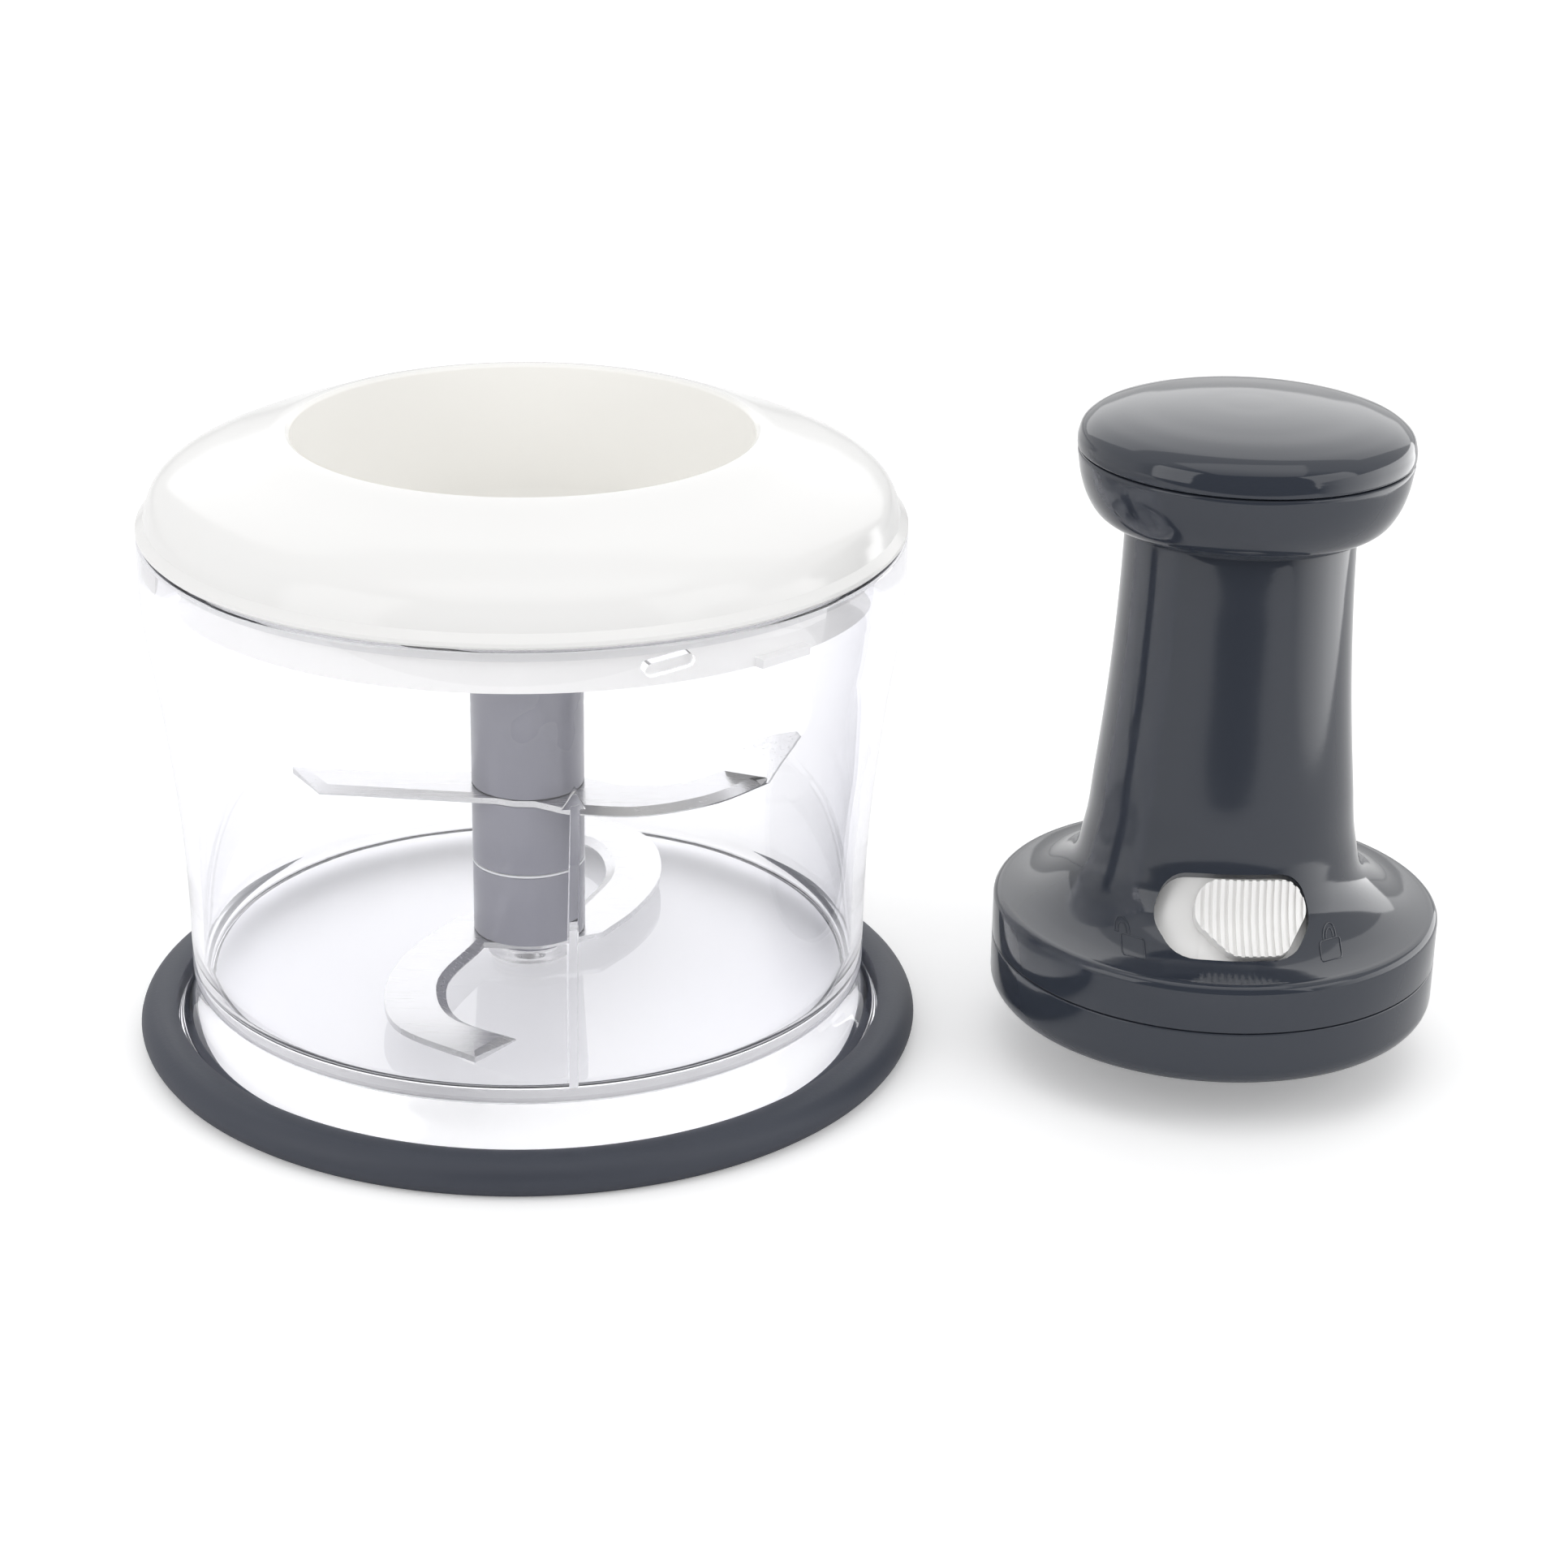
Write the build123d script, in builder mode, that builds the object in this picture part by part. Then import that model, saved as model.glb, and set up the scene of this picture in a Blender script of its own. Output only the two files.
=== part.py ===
"""Press-down food chopper, laid out ready: the bowl with its blades and lid, and the plunger head beside it.

Millimetres, +Z up, floor at Z = 0. The origin is on the floor under the middle of the whole set.
"""
import os
from math import atan2, cos, degrees, hypot, radians, sin

from build123d import *

os.makedirs("parts", exist_ok=True)

# ---------------------------------------------------------------- driving dimensions
# Clearances
seat_gap = 0.1            # between two pieces of the same unit
free_gap = 0.3            # between pieces that move against each other
running_fit = 0.1         # radial, round a turning shaft
press_fit = 0.02          # round a pressed-in pin
root_depth = 0.8          # how far lugs, tabs and pegs are set into what carries them
lead_in = 0.6             # chamfer on an end that is pushed in

# Bowl
rim_radius = 70.0
rim_height = 100.0
rim_band = 9.5            # straight band under the rim
bowl_wall = 2.2
bowl_base_radius = rim_radius - 6.2     # outside, at the foot of the wall
wall_straight = 8.0       # straight stretch of the wall above the floor
bowl_corner = 3.0
floor_top = 15.0
floor_thickness = 2.2
foot_radius = rim_radius - 3.0          # outside of the flared foot
foot_wall = 2.0
foot_edge_height = 2.4
foot_straight = 1.3       # straight stretch above the foot's edge
foot_bite = 0.4           # how far the foot runs up into the floor
foot_set_in = 1.5         # from the wall's outside to the foot's root
boss_radius = 7.6
boss_height = 2.1
rib_depth = 2.5
rib_thickness = 1.6
rib_height = 56.5
rib_knee = 0.45           # share of its height at which the rib starts to taper
rib_angle = -78.5
lug_count = 3
lug_angle = -65.0
lug_length = 9.0
lug_height = 2.4
lug_reach = 1.9
lug_slant = 8.0
lug_drop = 4.5            # from the rim to the middle of a lug

# Non-slip ring
ring_band = 7.0           # outside the foot
ring_lip = 2.2            # reaches in under the foot's wall
ring_height = 7.0
ring_sole = 1.8           # rubber under the foot's edge
ring_bead = 1.8           # height of the lip inside the foot
ring_edge = 1.6           # rounding of the outer edges
ring_belly = 0.5          # share of its height at which the ring is widest

# Blades and hub
pin_radius = 2.0
pin_height = 29.5         # above the bowl's floor
bush_wall = 1.4
core_radius = 6.0
core_flange = 0.9
hub_radius = 10.6
lower_sleeve_height = 14.1
middle_sleeve_height = 13.9
spacer_height = 0.5
collar_proud = 0.1        # spacer and blade collar stand proud of the sleeves
hub_round = 0.8
bush_proud = 1.5          # bush above the pin's end
blade_thickness = 1.2
blade_tip_height = 9.0
blade_tip_lean = 20.0
blade_tip_taper = 1.5
blade_tip_hook = 2.0
journal_radius = 5.5
hex_across_flats = 8.4
hex_height = 8.2

# Lid
lid_wall = 2.2
flange_height = 4.2       # from its underside to the level of the shoulder's inside
lid_edge = 1.3            # upright edge over the bowl's rim
ledge_width = 1.4         # ledge between that edge and the shoulder
ledge_rise = 1.3
lid_height = 18.0         # above the bowl's rim, to the top of the lip
lip_width = 2.4
lip_fall = 1.6            # inner edge of the lip below its top
lip_drop = 0.2            # outer edge of the lip below its top
edge_chamfer = 0.6
seat_radius = 42.0
seat_depth = 27.9
seat_round = 3.4
well_gap = 0.5            # between the spigot and its well
well_clearance = 0.4      # below the spigot
hub_gap = 0.5             # between the hub and the lid's bush
skirt_gap = 2.2           # from the bowl's wall to the skirt
skirt_drop = 8.5          # below the rim
skirt_floor = 2.0         # thickness of the skirt's inward flange
skirt_top_chamfer = 1.6
tab_length = 11.0
tab_height = 1.6
tab_reach = 1.7
lid_turn = 20.0           # from set down to locked
seal_height = 2.2
lid_bush_wall = 2.2
lid_bush_flange = 1.2
lid_bush_rim = 1.6        # flange beyond the bush

# Plunger head
head_spacing = 130.0      # from the bowl's axis to the head's axis, along X
head_offset = -4.5         # and along Y
base_radius = 41.7
base_height = 11.2        # lower shell, from its underside to the seam
base_round = 4.2
lip_rise = 2.4            # locating lip inside the seam
lip_thickness = 1.8
seam_gap = 0.2
band_height = 9.0         # side of the upper shell above the seam
shoulder_round = 1.6
head_wall = 2.3
column_height = 94.1      # from the underside to the top of the column
column_radius = 20.9      # at the top
bell_radius = 27.4        # where the bell meets the shoulder
bell_height = 29.0        # above the underside
spigot_radius = 15.0
spigot_length = 10.0      # the head stands on it
spigot_wall = 2.4
cover_radius = 33.9
cover_thickness = 2.4
post_circle = 30.0
post_angle = 90.0         # of the first of three
post_radius = 3.0
post_bite = 1.0           # how far a post runs up into the shoulder's wall
screw_radius = 1.3
screw_head_radius = 2.5
screw_head_height = 1.4
screw_length = 9.0

# Knob and piston
knob_radius = 30.3
knob_skirt_height = 12.9
knob_skirt_foot = 23.8
knob_wall = 2.2
cap_height = 9.0
cap_lip = 1.6
cap_lip_drop = 4.5
piston_radius = 16.4
piston_wall = 2.2
piston_length = 62.8      # below the knob's floor
piston_collar = 1.5
piston_collar_height = 3.0
piston_flange_radius = 22.4
piston_flange_height = 2.0
knob_screw_circle = 19.7
knob_screw_radius = 1.0
knob_screw_head = 1.8
carrier_radius = 8.2
carrier_wall = 2.0
carrier_length = 59.8
carrier_flange_radius = 11.0
carrier_flange_height = 1.5
nut_height = 10.0
nut_peg_radius = 0.7
guide_height = 11.0

# Drive and spring
rod_radius = 4.0
rod_length = 82.0
rod_lead = 30.0           # one turn
groove_radius = 1.1
rod_journal_radius = 5.0
rod_flange_radius = 7.4
rod_flange_height = 1.5
bearing_height = 6.0
clutch_radius = 9.0
clutch_height = 3.2
circlip_height = 0.8
socket_height = 10.2
socket_depth = 8.6
socket_lift = 0.6         # above the spigot's mouth
socket_slack = 0.5        # round the hexagonal drive end
socket_wall_gap = 0.6
socket_pilot_radius = 2.5
socket_pilot_height = 4.2
circlip_radius = 6.6
circlip_opening = 4.0
spring_radius = 11.2
spring_wire = 0.8
spring_turns = 12
spring_seat_height = 1.8

# Lock
window_angle = -90.0          # where the window faces
window_radius = bell_radius + 3.6       # middle of the window's slanting face
window_height = bell_height - 1.35      # and its height above the underside
window_slope = 49.0           # lean of that face from level
# Corners from top left, as distances to the side and up the slanting face
window_corners = ((-12.3, 10.6), (12.3, 10.6), (14.6, 4.6), (9.6, -5.2), (-9.6, -5.2), (-14.6, 4.6))
window_sag = (-1.3, -0.9)     # bow of its top and bottom edges, which run level round the bell
pad_corners = ((-7.0, 9.1), (11.8, 9.7), (13.8, 4.6), (9.1, -4.7), (-0.6, -5.3), (-7.0, 1.8))
pad_sag = (-0.9, -0.2)
window_round = 4.0
window_reach = 9.0            # of the window's cutter, each way from its face
pad_proud = 0.9
pad_ribs = 14
pad_rib_pitch = 1.4
pad_groove_width = 0.7
pad_groove_depth = 0.5
pad_spread = 40.0             # half the angle from which the pad is cut
pad_offset = 7.8              # angle from the window's middle to the closed pad's
lock_turn = 11.6              # travel of the pad round the column
track_thickness = 1.6
track_gap = 0.25
stem_height = 3.0
stem_length = 7.0
stem_half_angle = 5.0
stem_start = 0.6              # below the bell's outer face
track_half_angle = 39.0
slot_margin = 1.0             # angle left at each end of the stem's slot
bolt_height = 3.0
bolt_arm = 1.5
bolt_hook = 0.8
bolt_step = 1.2               # from the stem down to the arm
bolt_drop = 2.4
bolt_shoulder = 1.0
nose_clearance = 0.6          # bolt's nose above the piston's collar
nose_gap = 0.4
bolt_half_angle = 6.0

# ---------------------------------------------------------------- places
ring_radius = foot_radius + ring_band
ring_inner_radius = foot_radius - foot_wall - ring_lip
set_length = ring_radius + head_spacing + base_radius
bowl_x = ring_radius - set_length / 2
head_x = bowl_x + head_spacing
head_y = head_offset

bowl_floor = Plane(origin=(bowl_x, 0, 0))
bowl_axis = Axis((bowl_x, 0, 0), (0, 0, 1))
bowl_section = Plane(origin=(bowl_x, 0, 0), x_dir=(1, 0, 0), z_dir=(0, -1, 0))
head_floor = Plane(origin=(head_x, head_y, 0))
head_axis = Axis((head_x, head_y, 0), (0, 0, 1))
head_section = Plane(origin=(head_x, head_y, 0), x_dir=(1, 0, 0), z_dir=(0, -1, 0))


def section_at(centre_x, centre_y, angle):
    """Upright plane through an axis, turned to an angle: local X is the radius and local Y the height."""
    a = radians(angle)
    return Plane(origin=(centre_x, centre_y, 0), x_dir=(cos(a), sin(a), 0), z_dir=(sin(a), -cos(a), 0))


def facing(centre_x, centre_y, angle, radius, height, tilt=0.0):
    """Upright plane square to the radius at an angle, with local X tilted up from level."""
    a = radians(angle)
    rise = radians(tilt)
    origin = (centre_x + radius * cos(a), centre_y + radius * sin(a), height)
    across_radius = (-sin(a) * cos(rise), cos(a) * cos(rise), sin(rise))
    return Plane(origin=origin, x_dir=across_radius, z_dir=(cos(a), sin(a), 0))


def inset(line, distance):
    """The points of a section line moved sideways, to the left of its direction."""
    moved = []
    for i, (r, z) in enumerate(line):
        before = line[max(i - 1, 0)]
        after = line[min(i + 1, len(line) - 1)]
        dr, dz = after[0] - before[0], after[1] - before[1]
        length = hypot(dr, dz)
        moved.append((r - dz / length * distance, z + dr / length * distance))
    return moved


# ---------------------------------------------------------------- bowl
wall_top = rim_height - rim_band
wall_foot = floor_top + wall_straight
narrowing = rim_radius - bowl_base_radius
wall_fall = wall_top - wall_foot


def wall_line(depth_in):
    """Points down the bowl's wall, a given depth inside its outer face."""
    shape = ((0.0, 0.0), (0.37, 0.50), (0.67, 0.85), (1.0, 1.0))
    return [(rim_radius - depth_in - drop * narrowing, wall_top - down * wall_fall) for down, drop in shape]


floor_under = floor_top - floor_thickness
foot_join = floor_under + foot_bite
rim_inner = rim_radius - bowl_wall
base_inner = bowl_base_radius - bowl_wall
boss_top = floor_top + boss_height

with BuildPart() as bowl:
    with BuildSketch(bowl_section):
        with BuildLine():
            outside = Spline(*wall_line(0), tangents=((0, -1), (0, -1)))
            Line(outside @ 1, (bowl_base_radius, floor_under + bowl_corner))
            TangentArc((bowl_base_radius, floor_under + bowl_corner),
                       (bowl_base_radius - bowl_corner, floor_under), tangent=(0, -1))
            Polyline((bowl_base_radius - bowl_corner, floor_under), (0, floor_under), (0, boss_top),
                     (boss_radius, boss_top), (boss_radius, floor_top), (base_inner - bowl_corner, floor_top))
            TangentArc((base_inner - bowl_corner, floor_top), (base_inner, floor_top + bowl_corner),
                       tangent=(1, 0))
            inside = Spline(*reversed(wall_line(bowl_wall)), tangents=((0, 1), (0, 1)))
            Line((base_inner, floor_top + bowl_corner), inside @ 0)
            Polyline(inside @ 1, (rim_inner, rim_height), (rim_radius, rim_height), outside @ 0)
        make_face()
    revolve(axis=bowl_axis)
    # flared foot below the floor
    with BuildSketch(bowl_section):
        with BuildLine():
            foot_start = (bowl_base_radius - foot_set_in, foot_join)
            flare = TangentArc((foot_radius, foot_edge_height + foot_straight), foot_start, tangent=(0, 1))
            Polyline(foot_start, (foot_start[0] - foot_wall, foot_join),
                     (foot_radius - foot_wall, foot_edge_height + foot_straight),
                     (foot_radius - foot_wall, foot_edge_height), (foot_radius, foot_edge_height),
                     (foot_radius, foot_edge_height + foot_straight))
        make_face()
    revolve(axis=bowl_axis)
    # pointed stirring rib on the inside of the wall
    with BuildSketch(section_at(bowl_x, 0, rib_angle)):
        with BuildLine():
            rib_back = [p for p in reversed(wall_line(bowl_wall / 2)) if p[1] < floor_top + rib_height]
            rib_top = floor_top + rib_height
            share = (wall_top - rib_top) / wall_fall
            # the wall narrows faster near its top than the height alone says
            rib_point = rim_radius - bowl_wall * 0.8 - narrowing * share * 1.25
            rib_foot = floor_top - foot_bite
            Polyline((base_inner - rib_depth, rib_foot), (base_inner + bowl_wall / 2, rib_foot), *rib_back,
                     (rib_point, rib_top),
                     (base_inner - rib_depth, floor_top + rib_height * rib_knee), close=True)
        make_face()
    extrude(amount=rib_thickness / 2, both=True)
    # bayonet lugs
    for i in range(lug_count):
        lug_plane = facing(bowl_x, 0, lug_angle + i * 360 / lug_count, rim_inner + root_depth,
                           rim_height - lug_drop, lug_slant)
        with BuildSketch(lug_plane):
            SlotOverall(lug_length, lug_height)
        extrude(amount=-(lug_reach + root_depth))
    # hole for the pivot pin
    with BuildSketch(bowl_floor.offset(boss_top)):
        Circle(pin_radius + press_fit)
    extrude(amount=-(boss_height + floor_thickness / 2), mode=Mode.SUBTRACT)
bowl.part.label = "bowl"

ring_groove_foot = foot_edge_height - seat_gap
with BuildPart() as nonslip_ring:
    with BuildSketch(bowl_section):
        with BuildLine():
            shoulder = ThreePointArc((ring_radius - ring_edge, 0), (ring_radius, ring_height * ring_belly),
                                     (foot_radius + ring_edge, ring_height))
            groove_outer = foot_radius + seat_gap
            groove_inner = foot_radius - foot_wall - seat_gap
            Polyline(shoulder @ 1, (groove_outer, ring_height - lead_in), (groove_outer, ring_groove_foot),
                     (groove_inner, ring_groove_foot), (groove_inner, ring_sole + ring_bead),
                     (ring_inner_radius, ring_sole + ring_bead), (ring_inner_radius, 0), shoulder @ 0)
        make_face()
    revolve(axis=bowl_axis)
nonslip_ring.part.label = "nonslip_ring"

with BuildPart() as pivot_pin:
    with BuildSketch(bowl_floor.offset(floor_top - floor_thickness / 2)):
        Circle(pin_radius)
    extrude(amount=floor_thickness / 2 + pin_height)
    chamfer(pivot_pin.edges().sort_by(Axis.Z)[-1], lead_in)
pivot_pin.part.label = "pivot_pin"

# ---------------------------------------------------------------- blades and hub
core_foot = boss_top + free_gap
lower_blade_foot = core_foot + core_flange + seat_gap
lower_sleeve_foot = lower_blade_foot + blade_thickness + seat_gap
spacer_foot = lower_sleeve_foot + lower_sleeve_height
middle_sleeve_foot = spacer_foot + spacer_height
upper_blade_foot = middle_sleeve_foot + middle_sleeve_height + seat_gap
upper_sleeve_foot = upper_blade_foot + blade_thickness + seat_gap
lid_top = rim_height + lid_height
seat_floor = lid_top - seat_depth
well_radius = spigot_radius + well_gap
well_floor = seat_floor - spigot_length - well_clearance
hub_top = well_floor - lid_wall - lid_bush_flange - hub_gap
bush_radius = pin_radius + running_fit + bush_wall
bush_top = floor_top + pin_height + bush_proud
journal_top = well_floor + free_gap

with BuildPart() as spindle_core:
    with BuildSketch(bowl_floor.offset(core_foot)):
        Circle(boss_radius)
    extrude(amount=core_flange)
    with BuildSketch(bowl_floor.offset(core_foot)):
        Circle(core_radius)
    extrude(amount=hub_top - core_foot)
    with BuildSketch(bowl_floor.offset(hub_top)):
        Circle(journal_radius)
    extrude(amount=journal_top - hub_top)
    with BuildSketch(bowl_floor.offset(journal_top)):
        RegularPolygon(hex_across_flats / 2, 6, major_radius=False)
    extrude(amount=hex_height)
    with BuildSketch(bowl_floor.offset(core_foot)):
        Circle(bush_radius + seat_gap / 2)
    extrude(amount=bush_top - core_foot, mode=Mode.SUBTRACT)
spindle_core.part.label = "spindle_core"

with BuildPart() as pivot_bush:
    with BuildSketch(bowl_floor.offset(core_foot)):
        Circle(bush_radius)
        Circle(pin_radius + running_fit, mode=Mode.SUBTRACT)
    extrude(amount=bush_top - core_foot)
pivot_bush.part.label = "pivot_bush"

with BuildPart() as lower_sleeve:
    with BuildSketch(bowl_floor.offset(lower_sleeve_foot)):
        Circle(hub_radius)
        Circle(core_radius + seat_gap, mode=Mode.SUBTRACT)
    extrude(amount=lower_sleeve_height - seat_gap)
lower_sleeve.part.label = "lower_sleeve"

with BuildPart() as hub_spacer:
    with BuildSketch(bowl_floor.offset(spacer_foot)):
        Circle(hub_radius + collar_proud)
        Circle(core_radius + seat_gap, mode=Mode.SUBTRACT)
    extrude(amount=spacer_height - seat_gap)
hub_spacer.part.label = "hub_spacer"

with BuildPart() as middle_sleeve:
    with BuildSketch(bowl_floor.offset(middle_sleeve_foot)):
        Circle(hub_radius)
        Circle(core_radius + seat_gap, mode=Mode.SUBTRACT)
    extrude(amount=middle_sleeve_height)
middle_sleeve.part.label = "middle_sleeve"

with BuildPart() as upper_sleeve:
    with BuildSketch(bowl_floor.offset(upper_sleeve_foot)):
        Circle(hub_radius)
        Circle(core_radius + seat_gap, mode=Mode.SUBTRACT)
    extrude(amount=hub_top - upper_sleeve_foot)
    fillet(upper_sleeve.edges().group_by(Axis.Z)[-1].sort_by(SortBy.RADIUS)[-1], hub_round)
upper_sleeve.part.label = "upper_sleeve"

# Lower blade: two hooks, each the other turned half a turn
lower_hook = [(-3.0, 8.6), (-14.0, 3.0), (-19.5, -7.5), (-24.2, -26.0), (-20.8, -43.5), (-5.2, -56.4),
              (1.2, -47.2), (-9.8, -39.5), (-13.2, -27.5), (-8.0, -8.5), (1.0, -8.8)]
with BuildPart() as lower_blade:
    with BuildSketch(bowl_floor.offset(lower_blade_foot)):
        Circle(hub_radius - 4 * collar_proud)
        for half_turn in (0, 180):
            with Locations(Rotation(0, 0, half_turn)):
                with BuildLine(mode=Mode.PRIVATE) as hook:
                    outer_edge = Spline(*lower_hook[1:6])
                    inner_edge = Spline(*lower_hook[6:10])
                    Polyline(inner_edge @ 1, lower_hook[10], lower_hook[0], outer_edge @ 0)
                    Line(outer_edge @ 1, inner_edge @ 0)
                add(make_face(hook.edges(), mode=Mode.PRIVATE))
        Circle(core_radius + seat_gap, mode=Mode.SUBTRACT)
    extrude(amount=blade_thickness)
lower_blade.part.label = "lower_blade"

# Upper blade: one straight arm and one sickle arm with its tip bent up
straight_arm = [(-5.0, -9.0), (-38.5, -6.2), (-45.0, 3.8), (-28.0, 2.4), (-8.0, 3.0)]
sickle_front = [(8.0, -13.6), (20.7, -14.3), (34.5, -8.0), (45.3, 3.2)]
sickle_back = [(37.0, 6.4), (28.5, -0.4), (18.0, -1.8), (7.0, 2.5)]
bend_start = Vector(*sickle_front[-1])
bend_end = Vector(*sickle_back[0])
with BuildPart() as upper_blade:
    with BuildSketch(bowl_floor.offset(upper_blade_foot)):
        Circle(hub_radius + collar_proud)
        with BuildLine():
            Polyline(*straight_arm, close=True)
        make_face()
        with BuildLine():
            front_edge = Spline(*sickle_front)
            back_edge = Spline(*sickle_back)
            Line(front_edge @ 1, back_edge @ 0)
            Polyline(back_edge @ 1, (0, 0), (0, -9.0), front_edge @ 0)
        make_face()
        Circle(core_radius + seat_gap, mode=Mode.SUBTRACT)
    extrude(amount=blade_thickness)
    # the tip stands on the bend line and leans outwards
    bend = (bend_end - bend_start).normalized()
    outward = Vector(-bend.Y, bend.X, 0) * -1
    lean = radians(blade_tip_lean)
    rise = Vector(outward.X * sin(lean), outward.Y * sin(lean), cos(lean))
    tip_origin = Vector(bowl_x, 0, upper_blade_foot) + bend_start
    with BuildSketch(Plane(origin=tip_origin, x_dir=bend, z_dir=bend.cross(rise))):
        bend_length = (bend_end - bend_start).length
        with BuildLine():
            Polyline((0, 0), (bend_length, 0), (bend_length - blade_tip_taper, blade_tip_height * 0.55),
                     (-blade_tip_hook, blade_tip_height), (-blade_tip_hook / 2, blade_tip_height * 0.4),
                     close=True)
        make_face()
    extrude(amount=blade_thickness / 2, both=True)
upper_blade.part.label = "upper_blade"

# ---------------------------------------------------------------- lid
flange_under = rim_height + free_gap
flange_top = flange_under + flange_height
dome_foot = (rim_radius - ledge_width, flange_under + lid_edge + ledge_rise)
lip_outer = (seat_radius + lip_width, lid_top - lip_drop)
dome_run = dome_foot[0] - lip_outer[0]
dome_rise = lip_outer[1] - dome_foot[1]
skirt_radius = rim_inner - skirt_gap
skirt_top = flange_top - lid_wall - seat_gap
cup_outer = seat_radius + lid_wall
lid_bush_bore = journal_radius + free_gap
# steep rolled shoulder, then a low dome
dome_line = [(dome_foot[0] - dome_run * inwards, dome_foot[1] + dome_rise * up)
             for inwards, up in ((0.0, 0.0), (0.025, 0.154), (0.083, 0.329), (0.182, 0.463), (0.376, 0.624),
                                 (0.686, 0.812), (1.0, 1.0))]
with BuildPart() as lid_shell:
    with BuildSketch(bowl_section):
        with BuildLine():
            Polyline((skirt_radius + seat_gap, flange_under), (rim_radius - edge_chamfer, flange_under),
                     (rim_radius, flange_under + edge_chamfer), (rim_radius, flange_under + lid_edge),
                     dome_foot)
            dome = Spline(*dome_line)
            lip = ThreePointArc(dome @ 1, (seat_radius + lip_width / 3, lid_top),
                                (seat_radius, lid_top - lip_fall))
            Line(lip @ 1, (seat_radius, seat_floor + seat_round))
            TangentArc((seat_radius, seat_floor + seat_round), (seat_radius - seat_round, seat_floor),
                       tangent=(0, -1))
            cup_round = seat_round + lid_wall
            bush_hole = lid_bush_bore + lid_bush_wall
            cup_under = seat_floor - lid_wall
            Polyline((seat_radius - seat_round, seat_floor),
                     (well_radius, seat_floor), (well_radius, well_floor),
                     (bush_hole, well_floor), (bush_hole, well_floor - lid_wall),
                     (well_radius + lid_wall, well_floor - lid_wall),
                     (well_radius + lid_wall, cup_under), (cup_outer - cup_round, cup_under))
            TangentArc((cup_outer - cup_round, cup_under), (cup_outer, cup_under + cup_round), tangent=(1, 0))
            dome_under = inset(dome_line, lid_wall)[3:-1]
            Polyline((cup_outer, cup_under + cup_round), (cup_outer, lip_outer[1] - lid_wall * 1.3),
                     *reversed(dome_under), (skirt_radius - skirt_top_chamfer, flange_top - lid_wall),
                     (skirt_radius + seat_gap, flange_top - lid_wall),
                     (skirt_radius + seat_gap, flange_under))
        make_face()
    revolve(axis=bowl_axis)
lid_shell.part.label = "lid_shell"

skirt_foot = rim_height - skirt_drop
with BuildPart() as lid_inner_ring:
    with BuildSketch(bowl_section):
        with BuildLine():
            Polyline((cup_outer + seat_gap, skirt_foot),
                     (skirt_radius, skirt_foot), (skirt_radius, skirt_top),
                     (skirt_radius - skirt_top_chamfer, skirt_top),
                     (skirt_radius - lid_wall, skirt_top - skirt_top_chamfer / 1.6),
                     (skirt_radius - lid_wall, skirt_foot + skirt_floor),
                     (cup_outer + seat_gap, skirt_foot + skirt_floor), close=True)
        make_face()
    revolve(axis=bowl_axis)
    for i in range(lug_count):
        tab_angle = lug_angle + lid_turn + i * 360 / lug_count
        tab_middle = skirt_foot + tab_height / 2
        with BuildSketch(facing(bowl_x, 0, tab_angle, skirt_radius - root_depth, tab_middle)):
            Rectangle(tab_length, tab_height)
        extrude(amount=tab_reach + root_depth)
lid_inner_ring.part.label = "lid_inner_ring"

with BuildPart() as lid_seal:
    with BuildSketch(bowl_floor.offset(flange_under - free_gap - seal_height)):
        Circle(rim_inner - free_gap)
        Circle(skirt_radius + free_gap, mode=Mode.SUBTRACT)
    extrude(amount=seal_height)
lid_seal.part.label = "lid_seal"

with BuildPart() as lid_bush:
    with BuildSketch(bowl_floor.offset(well_floor - lid_wall - lid_bush_flange)):
        Circle(lid_bush_bore + lid_bush_wall + lid_bush_rim)
    extrude(amount=lid_bush_flange - seat_gap)
    with BuildSketch(bowl_floor.offset(well_floor - lid_wall - lid_bush_flange)):
        Circle(lid_bush_bore + lid_bush_wall - seat_gap)
    extrude(amount=lid_wall + lid_bush_flange)
    with BuildSketch(bowl_floor.offset(well_floor - lid_wall - lid_bush_flange)):
        Circle(lid_bush_bore)
    extrude(amount=lid_wall + lid_bush_flange, mode=Mode.SUBTRACT)
lid_bush.part.label = "lid_bush"

# ---------------------------------------------------------------- plunger head
underside = spigot_length
seam = underside + base_height
shell_foot = seam + seam_gap
shoulder_top = shell_foot + band_height
column_top = underside + column_height
bell_top = underside + bell_height

# Outer line of the bell and column, from the shoulder up
bell_spread = base_radius - shoulder_round - bell_radius
bell_rise = bell_top - shoulder_top
taper = bell_radius - column_radius
column_rise = column_top - bell_top
bell_line = [(bell_radius + bell_spread * out, shoulder_top + bell_rise * up)
             for out, up in ((1.0, 0.0), (0.85, 0.035), (0.654, 0.105), (0.331, 0.337), (0.0, 0.767))]
bell_line += [(column_radius + taper * out, bell_top + column_rise * up)
              for out, up in ((0.677, 0.077), (0.477, 0.246), (0.20, 0.538), (0.046, 0.814), (0.0, 1.0))]
bell_inner = inset(bell_line, head_wall)

slope = radians(window_slope)
facing_angle = radians(window_angle)
window_out = (sin(slope) * cos(facing_angle), sin(slope) * sin(facing_angle), cos(slope))
window_plane = Plane(origin=(head_x + window_radius * cos(facing_angle),
                             head_y + window_radius * sin(facing_angle), underside + window_height),
                     x_dir=(-sin(facing_angle), cos(facing_angle), 0), z_dir=window_out)


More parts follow.
